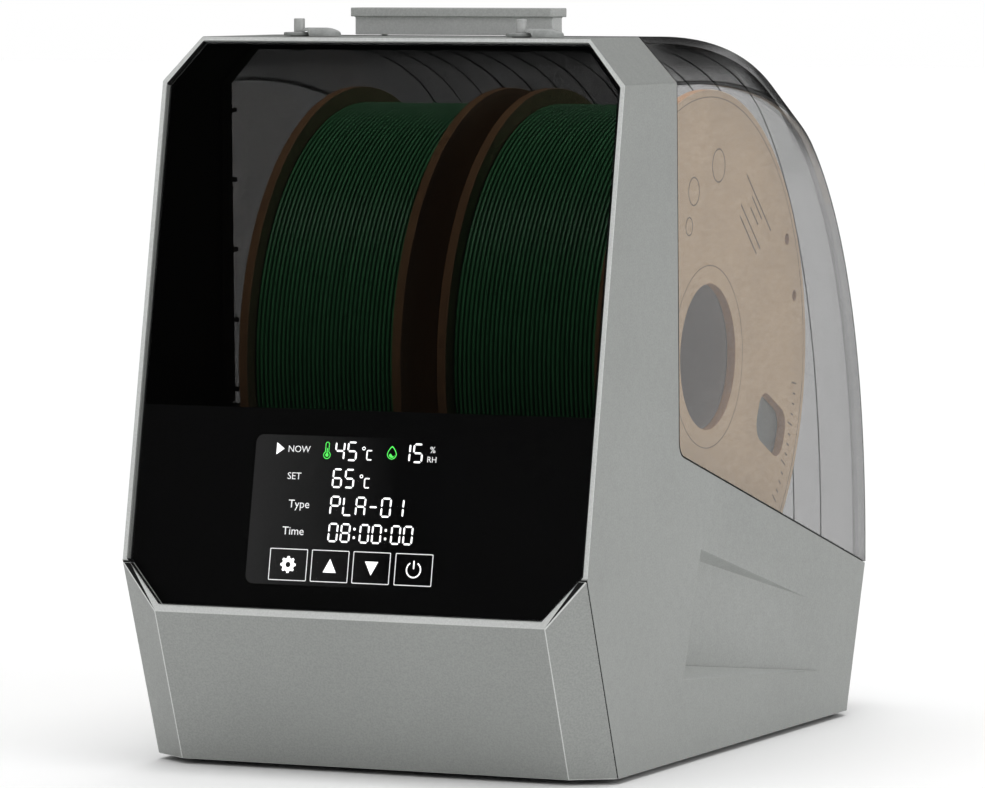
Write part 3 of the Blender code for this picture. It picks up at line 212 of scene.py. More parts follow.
class Shader:
    """A material with its node tree, and short ways to add and join nodes."""

    def __init__(self, name):
        self.material = bpy.data.materials.new(name)
        self.material.use_nodes = True
        self.tree = self.material.node_tree
        self.principled = self.tree.nodes["Principled BSDF"]
        self.output = self.tree.nodes["Material Output"]
        self.coordinates = self.node("ShaderNodeTexCoord").outputs["Object"]

    def node(self, kind, **values):
        made = self.tree.nodes.new(kind)
        for key, value in values.items():
            if hasattr(made, key):
                setattr(made, key, value)
            else:
                made.inputs[key.replace("_", " ")].default_value = value
        return made

    def join(self, source, target):
        self.tree.links.new(source, target)

    def set(self, **values):
        for key, value in values.items():
            socket = self.principled.inputs[key.replace("_", " ")]
            socket.default_value = (*value, 1.0) if isinstance(value, tuple) else value

    def noise(self, scale, detail=3.0, roughness=0.5, stretch=None):
        """Noise with this many features a metre, drawn out along the axes by stretch."""
        texture = self.node("ShaderNodeTexNoise", Scale=scale, Detail=detail, Roughness=roughness)
        source = self.coordinates
        if stretch:
            mapping = self.node("ShaderNodeMapping")
            mapping.inputs["Scale"].default_value = stretch
            self.join(source, mapping.inputs["Vector"])
            source = mapping.outputs["Vector"]
        self.join(source, texture.inputs["Vector"])
        return texture.outputs["Fac"]

    def ramp(self, source, low, high, first, second):
        """A ramp from one value or colour at low to another at high."""
        made = self.node("ShaderNodeValToRGB")
        for element, position, value in zip(made.color_ramp.elements, (low, high), (first, second)):
            element.position = position
            element.color = (*value, 1.0) if isinstance(value, tuple) else (value, value, value, 1.0)
        self.join(source, made.inputs["Fac"])
        return made.outputs["Color"]

    def steps(self, source, stops):
        """A ramp through several grey values, each with its position."""
        made = self.node("ShaderNodeValToRGB")
        ramp = made.color_ramp
        while len(ramp.elements) < len(stops):
            ramp.elements.new(0.5)
        for element, (position, value) in zip(ramp.elements, stops):
            element.position = position
            element.color = (value, value, value, 1.0)
        self.join(source, made.inputs["Fac"])
        return made.outputs["Color"]

    def along(self, axis, start, end, first, second):
        """A value that runs from first to second between two places along an object's axis, in metres."""
        parts = self.node("ShaderNodeSeparateXYZ")
        self.join(self.coordinates, parts.inputs["Vector"])
        made = self.node("ShaderNodeMapRange", From_Min=start, From_Max=end, To_Min=first, To_Max=second)
        self.join(parts.outputs[axis], made.inputs["Value"])
        return made.outputs["Result"]

    def blend(self, kind, share, first, second):
        """Two colour sockets mixed."""
        made = self.node("ShaderNodeMix", data_type="RGBA", blend_type=kind)
        made.inputs["Factor"].default_value = share
        self.join(first, made.inputs["A"])
        self.join(second, made.inputs["B"])
        return made.outputs["Result"]

    def bump(self, source, distance, strength=1.0, before=None):
        made = self.node("ShaderNodeBump", Strength=strength, Distance=distance)
        self.join(source, made.inputs["Height"])
        if before:
            self.join(before, made.inputs["Normal"])
        self.join(made.outputs["Normal"], self.principled.inputs["Normal"])
        return made.outputs["Normal"]

    def colour(self, socket):
        self.join(socket, self.principled.inputs["Base Color"])

    def roughness(self, socket):
        self.join(socket, self.principled.inputs["Roughness"])


def moulded(name, dark, light, rough, grain=1500.0, bump=0.00003, level=0.5, mottle=0.06):
    """Moulded plastic: a fine speckle, a broad faint mottle, and a grain in its gloss and surface."""
    shader = Shader(name)
    speck = shader.ramp(shader.noise(grain, 2.0, 0.6), 0.36, 0.64, dark, light)
    cloud = shader.ramp(shader.noise(18.0, 3.0), 0.3, 0.7, 1.0 - mottle, 1.0)
    shader.colour(shader.blend("MULTIPLY", 1.0, speck, cloud))
    shader.roughness(shader.ramp(shader.noise(260.0, 4.0), 0.3, 0.7, rough - 0.06, rough + 0.06))
    shader.bump(shader.noise(grain * 0.8, 2.0, 0.6), bump)
    shader.set(Specular_IOR_Level=level)
    return shader.material


def metal(name, dark, light, rough, stretch=(1.0, 1.0, 1.0)):
    """Worked metal, with fine marks drawn out along its length."""
    shader = Shader(name)
    marks = shader.noise(700.0, 4.0, 0.7, stretch)
    shader.colour(shader.ramp(marks, 0.3, 0.7, dark, light))
    shader.roughness(shader.ramp(marks, 0.2, 0.8, rough - 0.08, rough + 0.1))
    shader.bump(marks, 0.00001)
    shader.set(Metallic=1.0)
    return shader.material


def see_through(name, stops, gloss, rough, crown=None):
    """Thin clear plastic or glass: what passes through it darkens as it turns edge on, under a clear gloss.

    Each stop is how far the surface is turned away, from 0 facing to 1 edge on, and the share that passes.
    gloss is a share of what clear plastic mirrors, or stops of its own, where the far face mirrors no more
    than the near one does.
    crown is the two heights between which it turns darker, a painted shade over the top, and the share that
    still passes above them.
    """
    shader = Shader(name)
    turn = shader.node("ShaderNodeLayerWeight", Blend=0.5).outputs["Facing"]
    marks = shader.ramp(shader.noise(9.0, 4.0, 0.7), 0.2, 0.8, 0.97, 1.0)
    through = shader.steps(turn, stops)
    tint = shader.blend("MULTIPLY", 1.0, through, marks)
    if crown:
        low, high, share = crown
        # painted shade: less passes above the crown's heights
        tint = shader.blend("MULTIPLY", 1.0, tint, shader.along("Z", low, high, 1.0, share))
    clear = shader.node("ShaderNodeBsdfTransparent")
    shader.join(tint, clear.inputs["Color"])
    shine = shader.node("ShaderNodeBsdfAnisotropic", Roughness=rough)
    mix = shader.node("ShaderNodeMixShader")
    if isinstance(gloss, tuple):
        shader.join(shader.steps(turn, gloss), mix.inputs["Fac"])
    else:
        fresnel = shader.node("ShaderNodeFresnel", IOR=1.45).outputs["Fac"]
        share = shader.node("ShaderNodeMath", operation="MULTIPLY")
        share.inputs[1].default_value = gloss
        shader.join(fresnel, share.inputs[0])
        shader.join(share.outputs["Value"], mix.inputs["Fac"])
    shader.join(clear.outputs["BSDF"], mix.inputs[1])
    shader.join(shine.outputs["BSDF"], mix.inputs[2])
    shader.join(mix.outputs["Shader"], shader.output.inputs["Surface"])
    shader.tree.nodes.remove(shader.principled)
    return shader.material


def card(name, dark, light, rough=0.9):
    """Pressed card: long fibres, flecks and a soft uneven surface."""
    shader = Shader(name)
    fibre = shader.ramp(shader.noise(420.0, 5.0, 0.65, (1.0, 0.35, 1.6)), 0.3, 0.7, dark, light)
    fleck = shader.ramp(shader.noise(900.0, 1.0, 0.5), 0.66, 0.74, 1.0, 0.72)
    cloud = shader.ramp(shader.noise(30.0, 3.0), 0.3, 0.7, 0.93, 1.03)
    shader.colour(shader.blend("MULTIPLY", 1.0, shader.blend("MULTIPLY", 1.0, fibre, fleck), cloud))
    shader.roughness(shader.ramp(shader.noise(300.0, 3.0), 0.3, 0.7, rough - 0.06, min(1.0, rough + 0.06)))
    shader.bump(shader.noise(420.0, 5.0, 0.65, (1.0, 0.35, 1.6)), 0.00008, 0.6)
    shader.set(Specular_IOR_Level=0.25)
    return shader.material


def strand(name, dark, light):
    """Extruded plastic filament: even colour along each turn, with faint changes from turn to turn."""
    shader = Shader(name)
    rows = shader.noise(60.0, 3.0, 0.5, (9.0, 0.4, 0.4))
    fine = shader.noise(1400.0, 2.0)
    base = shader.ramp(rows, 0.3, 0.7, dark, light)
    tone = shader.ramp(fine, 0.3, 0.7, 0.9, 1.0)
    shader.colour(shader.blend("MULTIPLY", 1.0, base, tone))
    shader.roughness(shader.ramp(rows, 0.2, 0.8, 0.30, 0.42))
    shader.bump(fine, 0.00001)
    return shader.material


def lit(name, colour, strength):
    """A lit mark on the display, slightly uneven as backlit marks are."""
    shader = Shader(name)
    glow = shader.ramp(shader.noise(140.0, 2.0), 0.2, 0.8, tuple(0.88 * c for c in colour), colour)
    shader.colour(glow)
    shader.join(glow, shader.principled.inputs["Emission Color"])
    shader.set(Emission_Strength=strength, Roughness=0.5)
    return shader.material


def display_face():
    """The display's dark face, a little lighter towards its left."""
    shader = Shader("display_face")
    across = shader.along("X", -0.044, 0.014, 1.0, 0.0)
    shade = shader.ramp(across, 0.0, 1.0, (0.0014, 0.0014, 0.0015), (0.021, 0.021, 0.021))
    grain = shader.ramp(shader.noise(1200.0, 1.0), 0.3, 0.7, 0.9, 1.0)
    shader.colour(shader.blend("MULTIPLY", 1.0, shade, grain))
    shader.join(shade, shader.principled.inputs["Emission Color"])
    shader.set(Emission_Strength=0.6, Roughness=0.4, Specular_IOR_Level=0.1)
    return shader.material


HOUSING = moulded("housing", (0.288, 0.300, 0.288), (0.340, 0.352, 0.338), 0.48)
# housing colour lightened: a painted highlight on the border round the glass and on the chin's rounded edges
PAINTED_HIGHLIGHT = moulded("painted_highlight_edge", (0.63, 0.645, 0.63), (0.72, 0.735, 0.72), 0.40)
# housing colour lightened as painted light, for the grips' floors that face up to the light
GRIP_FLOOR_PAINTED_LIGHT = moulded("grip_floor_painted_light", (0.43, 0.445, 0.43), (0.49, 0.505, 0.49), 0.48)
# the handle's plate is lightened beyond the housing as painted light, and its stem under the plate further
# still, as painted light in the plate's shade
HANDLE = moulded("handle_painted_light", (0.52, 0.535, 0.52), (0.61, 0.625, 0.608), 0.48)
HANDLE_STEM_PAINTED_LIGHT = moulded("handle_stem_painted_light", (0.80, 0.815, 0.80), (0.88, 0.895, 0.88), 0.48)
BLACK = moulded("black_plastic", (0.010, 0.010, 0.010), (0.020, 0.020, 0.020), 0.55, 900.0)
LINER = moulded("black_liner", (0.006, 0.006, 0.006), (0.010, 0.010, 0.010), 0.75, 900.0, level=0.2)
RUBBER = moulded("black_rubber", (0.012, 0.012, 0.012), (0.018, 0.018, 0.018), 0.82, 700.0, level=0.2)
SILICONE = moulded("silicone", (0.36, 0.375, 0.365), (0.44, 0.455, 0.445), 0.50, 500.0)
TUBE = moulded("outlet_tube", (0.50, 0.51, 0.50), (0.58, 0.59, 0.58), 0.32, 500.0)
ROLLER = moulded("roller", (0.60, 0.60, 0.58), (0.68, 0.68, 0.66), 0.42, 500.0)
BOARD = moulded("circuit_board", (0.010, 0.085, 0.035), (0.018, 0.120, 0.050), 0.35, 240.0)
CABLE = moulded("cable", (0.16, 0.16, 0.165), (0.20, 0.20, 0.205), 0.60, 400.0)
PRINT = moulded("black_print", (0.0015, 0.0015, 0.0015), (0.0025, 0.0025, 0.0025), 0.5, 900.0, 0.0, 0.1)
STEEL = metal("steel", (0.46, 0.46, 0.47), (0.66, 0.66, 0.67), 0.28, (0.3, 1.0, 1.0))
ALUMINIUM = metal("aluminium", (0.60, 0.61, 0.62), (0.76, 0.77, 0.78), 0.38)
CARD = card("cardboard", (0.575, 0.415, 0.265), (0.70, 0.525, 0.350))
CORE = card("core_card", (0.26, 0.235, 0.225), (0.32, 0.295, 0.28))
CARD_EDGE = card("cardboard_edge", (0.38, 0.200, 0.095), (0.52, 0.290, 0.145))
INK = moulded("card_ink", (0.16, 0.12, 0.08), (0.22, 0.17, 0.12), 0.8, 600.0, level=0.2)
# the filament green, lightened on the crests as a painted highlight; the flanks between turns take a darker
# painted shade
FILAMENT = strand("filament", (0.095, 0.42, 0.165), (0.135, 0.56, 0.225))
FILAMENT_PAINTED_SHADE = strand("filament_painted_shade", (0.012, 0.085, 0.028), (0.018, 0.115, 0.040))
# grey painted shade for the winding's flat sides, which are green filament
FILAMENT_SIDE_PAINTED_SHADE = moulded("filament_side_painted_shade", (0.15, 0.165, 0.155), (0.22, 0.235, 0.225), 0.6, 500.0)
SMOKED = see_through("smoked_clear", ((0.0, 0.93), (0.6, 0.90), (0.83, 0.62), (1.0, 0.25)), 0.22, 0.04)
COVER_STOPS = ((0.0, 0.68), (0.6, 0.70), (0.82, 0.68), (0.89, 0.10), (1.0, 0.02))
# smoked tint, with a painted shade over the cover's top above 249.5 mm
SMOKED_COVER_PAINTED_TOP_SHADE = see_through("smoked_cover_painted_top_shade", COVER_STOPS, 0.22, 0.10, (0.2495, 0.2555, 0.72))
SMOKED_RIM = see_through("smoked_rim", ((0.0, 0.25), (0.7, 0.18), (1.0, 0.06)), 0.22, 0.1)
SMOKED_EDGE = moulded("smoked_edge", (0.030, 0.030, 0.031), (0.045, 0.045, 0.046), 0.25, 300.0)
GROOVE = moulded("rib_groove", (0.010, 0.010, 0.010), (0.016, 0.016, 0.016), 0.4, 300.0)
GLASS_GLOSS = ((0.0, 0.024), (0.5, 0.035), (0.8, 0.22), (1.0, 0.70))
GLASS = see_through("front_glass", ((0.0, 0.97), (0.5, 0.95), (1.0, 0.60)), GLASS_GLOSS, 0.02)
SMOKE_FILM = see_through("smoke_film", ((0.0, 0.265), (0.5, 0.25), (1.0, 0.15)), 0.0, 0.5)
LIT_WHITE = lit("lit_white", (1.0, 1.0, 1.0), 1.15)
LIT_DIM = lit("lit_grey", (0.78, 0.78, 0.78), 0.9)
LIT_GREEN = lit("lit_green", (0.10, 0.85, 0.12), 1.0)
DISPLAY_FACE = display_face()


# ---------------------------------------------------------------- pieces


def piece(name, bm, materials, body, replaces=(), sharp=30.0):
    """A finished piece from a bmesh drawn in millimetres in the body's axes."""
    bm.normal_update()
    bmesh.ops.recalc_face_normals(bm, faces=bm.faces)
    for vertex in bm.verts:
        vertex.co = to_world(vertex.co)
    mesh = bpy.data.meshes.new(name)
    bm.to_mesh(mesh)
    bm.free()
    for item in materials if isinstance(materials, (list, tuple)) else (materials,):
        mesh.materials.append(item)
    mesh.shade_smooth()
    mesh.set_sharp_from_angle(angle=math.radians(sharp))
    thing = bpy.data.objects.new(name, mesh)
    bpy.context.scene.collection.objects.link(thing)
    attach(thing, body)
    if replaces:
        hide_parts(*replaces)
    return thing


def round_edges(thing, width, segments=2, angle=28.0, edge_slot=-1, clamp=True):
    """Rounds every edge sharper than the angle in degrees. edge_slot colours the rounded edges."""
    modifier = thing.modifiers.new("rounded", "BEVEL")
    modifier.width = width * MM
    modifier.segments = segments
    modifier.limit_method = "ANGLE"
    modifier.angle_limit = math.radians(angle)
    modifier.harden_normals = True
    modifier.use_clamp_overlap = clamp
    modifier.material = edge_slot


def refined(node, materials, width, segments=2, angle=28.0, choose=None, **options):
    """A copy of a CAD node with its edges rounded; choose gives each face its material.

    Flat faces are joined first, except where whole is False. The other options are round_edges' own.
    """
    whole = options.pop("whole", True)
    source = frame["nodes"][node]
    bm = bmesh.new()
    bm.from_mesh(source.data)
    bmesh.ops.remove_doubles(bm, verts=bm.verts, dist=3e-6)
    joined = bm.copy()
    bmesh.ops.dissolve_limit(joined, angle_limit=math.radians(0.8), verts=joined.verts, edges=joined.edges)
    if whole and same_shape(bm, joined):
        bm.free()
        bm = joined
    else:
        joined.free()
    for vertex in bm.verts:
        vertex.co = from_world(vertex.co)
    bm.normal_update()
    for face in bm.faces:
        face.material_index = choose(face.calc_center_median(), face.normal) if choose else 0
    body = source["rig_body"]
    thing = piece("fine_" + node, bm, materials, body, (node,), angle)
    if width:
        round_edges(thing, width, segments, angle, **options)


def same_shape(first, second):
    """False where joining flat faces has covered a hole, which changes the area of the triangles."""
    areas = []
    for bm in (first, second):
        total = 0.0
        for loops in bm.calc_loop_triangles():
            a, b, c = (loop.vert.co for loop in loops)
            total += (b - a).cross(c - a).length / 2
        areas.append(total)
    return abs(areas[1] - areas[0]) < 0.002 * areas[0]


def add_prism(bm, outline, heights, axes):
    """Adds a closed prism, with the outline at both heights."""
    ends = [[bm.verts.new(axes(u, v, w)) for u, v in outline] for w in heights]
    for end in ends:
        bm.faces.new(end)
    for i in range(len(outline)):
        bm.faces.new((ends[0][i - 1], ends[0][i], ends[1][i], ends[1][i - 1]))


def solid_prism(outline, low, high, axes):
    bm = bmesh.new()
    add_prism(bm, outline, (low, high), axes)
    return bm


def filled(rings):
    """A flat mesh inside the first ring of points and outside the others."""
    bm = bmesh.new()
    edges = []
    for ring in rings:
        corners = [bm.verts.new(point) for point in ring]
        edges += [bm.edges.new((corners[i - 1], corners[i])) for i in range(len(corners))]
    bmesh.ops.triangle_fill(bm, edges=edges, use_beauty=True)
    return bm


def pull(bm, faces, shift):
    """Extrudes the faces by the shift."""
    grown = bmesh.ops.extrude_face_region(bm, geom=faces)["geom"]
    moved = [item for item in grown if isinstance(item, bmesh.types.BMVert)]
    bmesh.ops.translate(bm, verts=moved, vec=shift)


def turned(profile, centre, axes, segments, closed=True):
    """A closed solid of revolution. Profile points are (radius, height)."""
    bm = bmesh.new()
    rings = []
    for radius, height in profile:
        if radius == 0:
            rings.append([bm.verts.new(axes(centre[0], centre[1], height))] * segments)
        else:
            rings.append([bm.verts.new(axes(u, v, height)) for u, v in circle(radius, segments, centre)])
    for i in range(0 if closed else 1, len(rings)):
        first, second = rings[i - 1], rings[i]
        if first[0] is first[1] and second[0] is second[1]:
            continue
        for k in range(segments):
            corners = [first[k - 1], first[k], second[k], second[k - 1]]
            bm.faces.new(list(dict.fromkeys(corners)))
    return bm


def lens_edge(radius_out, low, high, ease):
    """Profile points for an outer edge with rounded corners, from low to high."""
    points = []
    for k in range(5):
        angle = math.pi / 2 * k / 4
        points.append((radius_out - ease + ease * math.sin(angle), low + ease - ease * math.cos(angle)))
    for k in range(5):
        angle = math.pi / 2 * k / 4
        points.append((radius_out - ease + ease * math.cos(angle), high - ease + ease * math.sin(angle)))
    return points


# ---------------------------------------------------------------- housing


def inside_housing(centre, normal):
    """0 for the outside, 1 for black inner faces and the glass's ledge, 2 for the border round the glass,
    lightened as a painted highlight, 3 for grip floors, lightened as painted light.
    """
    across = Vector((0, math.cos(LEAN), -math.sin(LEAN)))
    depth = (centre - Vector((0, 0, PANEL_ZERO_Z))).dot(across)
    # upward grip floors: painted light
    if normal.z > 0.7 and abs(normal.x) > 0.5 and centre.z < GRIP_TOP_Z:
        return 3
    if centre.y < 32.0 and abs(centre.x) > 84.0 and normal.y < -0.85 and centre.z < CHIN_SEAM_Z + 0.5:
        return 1
    # the border round the glass gets the painted highlight
    if normal.dot(across) < -0.97 and abs(depth) < 0.6:
        return 2
    if 2.0 < depth < 8.0 and normal.dot(across) < -0.9 and centre.z > GLASS_Z[0]:
        return 1
    towards_middle = normal.dot(Vector((0, 150, 130)) - centre) > 0
    sideways = normal.x * (1 if centre.x > 0 else -1) > 0.05
    inner = abs(centre.x) <= HALF_WIDTH - 2.0 and centre.z < BODY_TOP - 2.0
    return 1 if towards_middle and inner and not sideways else 0


def make_housing():
    finishes = (HOUSING, LINER, PAINTED_HIGHLIGHT, GRIP_FLOOR_PAINTED_LIGHT)
    refined("main_shell", finishes, 0.4, 3, 20.0, inside_housing, clamp=False)
    # the chin's rounded edges take slot 2, the painted highlight
    refined("chin_cover", finishes, 0.28, 3, 20.0, inside_housing, whole=False, edge_slot=2, clamp=False)
    refined("rear_panel", (HOUSING, LINER), 0.45, 2, 20.0, inside_housing)
    refined("bottom_plate", BLACK, 0.3)
    for name in ("front_left", "front_right", "rear_left", "rear_right"):
        low, high = node_box("foot_" + name)
        middle = (low + high) / 2
        radius = (high.x - low.x) / 2
        base, top = low.z, high.z
        profile = [(0, base), (radius * 0.55, base), (radius * 0.6, base + 0.25), (radius * 0.65, base)]
        profile += lens_edge(radius, base, top, 0.5) + [(0, top)]
        foot = turned(profile, (middle.x, middle.y), along_z, 64)
        piece("fine_foot_" + name, foot, RUBBER, "base", ("foot_" + name,))
        make_cross_screw("base_screw_" + name, "base")


def make_cross_screw(node, body):
    """A screw with its pan head down and a cross recess in it."""
    low, high = node_box(node)
    middle = (low + high) / 2
    radius = (high.x - low.x) / 2
    bottom, top = low.z, high.z
    head, tip, recess = 2.0, 1.0, 0.8
    crest, root = 1.35, 1.1
    turns = 9
    start = bottom + head
    shaft = []
    for k in range(turns * 2 + 1):
        z = start + (top - tip - start) * k / (turns * 2)
        shaft.append((crest if k % 2 else root, z))
    dome = [(0, bottom + 0.15), (radius * 0.5, bottom), (radius * 0.86, bottom + 0.3), (radius, bottom + 1.0)]
    profile = dome + [(radius, start)] + shaft + [(0, top)]
    bm = turned(profile, (middle.x, middle.y), along_z, 24)
    cross = []
    for face in bm.faces:
        flat = face.calc_center_median()
        away = math.hypot(flat.x - middle.x, flat.y - middle.y)
        if flat.z < bottom + 0.3 and 0.2 * radius < away < 0.62 * radius:
            angle = math.atan2(flat.y - middle.y, flat.x - middle.x)
            if math.cos(4 * angle) > 0.5:
                cross.append(face)
    pull(bm, cross, (0, 0, recess))
    bmesh.ops.delete(bm, geom=[face for face in cross if face.is_valid], context="FACES_ONLY")
    piece("fine_" + node, bm, STEEL, body, (node,))


# ---------------------------------------------------------------- front glass and display


def make_glass():
    bm = solid_prism(glass_outline(), 0.15, GLASS_THICK, on_panel)
    glass = piece("glass_front", bm, GLASS, "base", ("front_glass",))
    round_edges(glass, 0.35, 3)
    back = GLASS_THICK + 0.05
    outline = glass_outline(0.4)
    upper = [(x, max(s, WINDOW_LOW_S)) for x, s in outline if s > 100]
    side = max(x for x, s in outline)
    film = [(side, WINDOW_LOW_S)] + upper + [(-side, WINDOW_LOW_S)]
    thin_sheet("smoke_film", film, back + 0.02, SMOKE_FILM)
    lower = [(x, s) for x, s in outline if s < 100]
    half = len(lower) // 2
    mask = lower[:half] + [(side, WINDOW_LOW_S + 0.2), (-side, WINDOW_LOW_S + 0.2)] + lower[half:]
    hole = on_display(round_rectangle(-42.0, 42.0, -7.5, 46.7, 3.0))
    sheet_with_hole("black_mask", mask, hole, back, PRINT)
    face = on_display(round_rectangle(-42.6, 42.6, -8.1, 47.3, 3.0))
    thin_sheet("display_panel", face, back + 0.12, DISPLAY_FACE)


def on_display(outline):
    """The outline moved from the display's own axes to the panel's."""
    return [(x + DISPLAY_X, s + DISPLAY_S) for x, s in outline]


def thin_sheet(name, outline, depth, material, thick=0.03):
    bm = solid_prism(outline, depth, depth + thick, on_panel)
    piece(name, bm, material, "base")


def sheet_with_hole(name, outline, hole, depth, material):
    """A thin sheet on the panel with a hole in it, filled between the two outlines."""
    bm = filled([[on_panel(x, s, depth) for x, s in ring] for ring in (outline, hole)])
    pull(bm, bm.faces[:], Vector(on_panel(0, 0, 0.04)) - Vector(on_panel(0, 0, 0)))
    piece(name, bm, material, "base")


SEGMENTS = {
    "0": "abcdef",
    "1": "bc",
    "4": "bcfg",
    "5": "acdfg",
    "6": "acdefg",
    "8": "abcdefg",
    "A": "abcefg",
    "L": "def",
    "P": "abefg",
    "-": "g",
}
MARK_DEPTH = GLASS_THICK + 0.075


class Marks:
    """Flat lit shapes on the display, gathered into one mesh."""

    def __init__(self):
        self.bm = bmesh.new()

    def shape(self, outline):
        add_prism(self.bm, on_display(outline), (MARK_DEPTH, MARK_DEPTH + 0.04), on_panel)

    def ring(self, outer, inner):
        """A band between two outlines with the same number of points."""
        count = len(outer)
        for i in range(count):
            self.shape([outer[i - 1], outer[i], inner[i], inner[i - 1]])

    def segment(self, start, end, width):
        """One display segment: a bar with pointed ends."""
        a, b = Vector(start), Vector(end)
        along = (b - a).normalized()
        side = Vector((-along.y, along.x)) * width / 2
        tip = along * width / 2
        self.shape([a, a + tip + side, b - tip + side, b, b - tip - side, a + tip - side])

    def figure(self, sign, x, s, width, height, bar=0.68, slant=0.03):
        """A seven-segment figure with its lower left corner at x, s."""
        gap = 0.22
        inner = bar / 2
        levels = (s + inner, s + height / 2, s + height - inner)
        left, right = x + inner, x + width - inner

        def at(u, v):
            return (u + (v - s) * slant, v)

        ends = {
            "a": ((left + gap, levels[2]), (right - gap, levels[2])),
            "b": ((right, levels[1] + gap), (right, levels[2] - gap)),
            "c": ((right, levels[0] + gap), (right, levels[1] - gap)),
            "d": ((left + gap, levels[0]), (right - gap, levels[0])),
            "e": ((left, levels[0] + gap), (left, levels[1] - gap)),
            "f": ((left, levels[1] + gap), (left, levels[2] - gap)),
            "g": ((left + gap, levels[1]), (right - gap, levels[1])),
        }
        for name in SEGMENTS[sign]:
            (u0, v0), (u1, v1) = ends[name]
            self.segment(at(u0, v0), at(u1, v1), bar)

    def number(self, text, x, s, width, height, pitch):
        for sign in text:
            if sign == ":":
                for middle in (s + height * 0.28, s + height * 0.72):
                    self.shape(round_rectangle(x + 0.35, x + 1.25, middle - 0.5, middle + 0.5, 0.3, 2))
                x += 2.7
                continue
            self.figure(sign, x, s, width, height)
            x += pitch

    def celsius(self, x, s, height):
        centre = (x, s + height - 0.1)
        self.ring(circle(0.7, 16, centre), circle(0.38, 16, centre))
        left, right = x + 1.4, x + 3.4
        self.segment((left, s + 0.3), (right, s + 0.3), 0.5)
        self.segment((left, s + 0.4), (left, s + height - 0.8), 0.5)
        self.segment((left, s + height - 0.8), (right, s + height - 0.8), 0.5)

    def words(self, text, x, s, size):
        """Small plain lettering, from Blender's own font."""
        curve = bpy.data.curves.new("words", "FONT")
        curve.body = text
        curve.size = size
        curve.align_x = "CENTER"
        curve.align_y = "CENTER"
        curve.resolution_u = 3
        thing = bpy.data.objects.new("words", curve)
        bpy.context.scene.collection.objects.link(thing)
        mesh = bpy.data.meshes.new_from_object(thing)
        bpy.data.objects.remove(thing)
        letters = bmesh.new()
        letters.from_mesh(mesh)
        bpy.data.meshes.remove(mesh)
        bmesh.ops.dissolve_limit(letters, angle_limit=0.01, verts=letters.verts, edges=letters.edges)
        for face in letters.faces:
            self.shape([(x + corner.vert.co.x, s + corner.vert.co.y) for corner in face.loops])
        letters.free()

    def finish(self, name, material):
        piece(name, self.bm, material, "base")


def make_display():
    white, dim, green = Marks(), Marks(), Marks()
    digit = (3.95, 7.1, 4.85)
    white.shape([(-33.6, 39.5), (-33.6, 43.9), (-30.5, 41.7)])
    dim.words("NOW", -24.6, 41.6, 3.4)
    dim.words("SET", -25.7, 31.8, 3.6)
    dim.words("Type", -22.9, 21.7, 4.2)
    dim.words("Time", -24.4, 11.9, 4.2)
    white.number("45", -10.4, 38.0, *digit)
    white.celsius(1.1, 38.4, 4.4)
    white.number("15", 15.6, 38.1, *digit)
    dim.words("%", 28.3, 42.9, 3.3)
    dim.words("RH", 28.2, 39.4, 3.0)
    white.number("65", -10.6, 28.1, *digit)
    white.celsius(1.0, 28.3, 4.4)
    white.number("PLA-01", -10.7, 18.1, 4.1, 7.2, 5.05)
    white.number("08:00:00", -10.6, 8.5, 3.95, 7.0, 4.85)
    keys = ((-32.9, -17.8), (-16.2, -1.3), (0.3, 15.1), (17.0, 31.8))
    low, high = -6.0, 5.6
    for left, right in keys:
        outer = round_rectangle(left, right, low, high, 0.35, 2)
        inner = round_rectangle(left + 0.3, right - 0.3, low + 0.3, high - 0.3, 0.2, 2)
        dim.ring(outer, inner)
    middle = (low + high) / 2
    gear, up, down, power = [((left + right) / 2, middle) for left, right in keys]
    teeth = []
    for k in range(48):
        angle = 2 * math.pi * k / 48
        reach = 2.75 + 0.32 * max(-1.0, min(1.0, 2.2 * math.cos(8 * angle)))
        teeth.append((gear[0] + reach * math.cos(angle), gear[1] + reach * math.sin(angle)))
    white.ring(teeth, circle(1.0, 48, gear))
    white.shape([(up[0] - 2.6, up[1] - 2.3), (up[0] + 2.6, up[1] - 2.3), (up[0], up[1] + 2.7)])
    white.shape([(down[0] - 2.6, down[1] + 2.3), (down[0] + 2.6, down[1] + 2.3), (down[0], down[1] - 2.7)])
    opening = math.radians(32)
    turns = [math.pi / 2 + opening + (2 * math.pi - 2 * opening) * k / 30 for k in range(31)]
    arcs = []
    for radius in (3.0, 2.5):
        arcs.append([(power[0] + radius * math.cos(a), power[1] + radius * math.sin(a)) for a in turns])
    for k in range(30):
        white.shape([arcs[0][k], arcs[0][k + 1], arcs[1][k + 1], arcs[1][k]])
    white.segment((power[0], power[1] + 0.2), (power[0], power[1] + 3.4), 0.55)
    make_symbols(green)
    white.finish("display_figures", LIT_WHITE)
    dim.finish("display_labels", LIT_DIM)
    green.finish("display_symbols", LIT_GREEN)


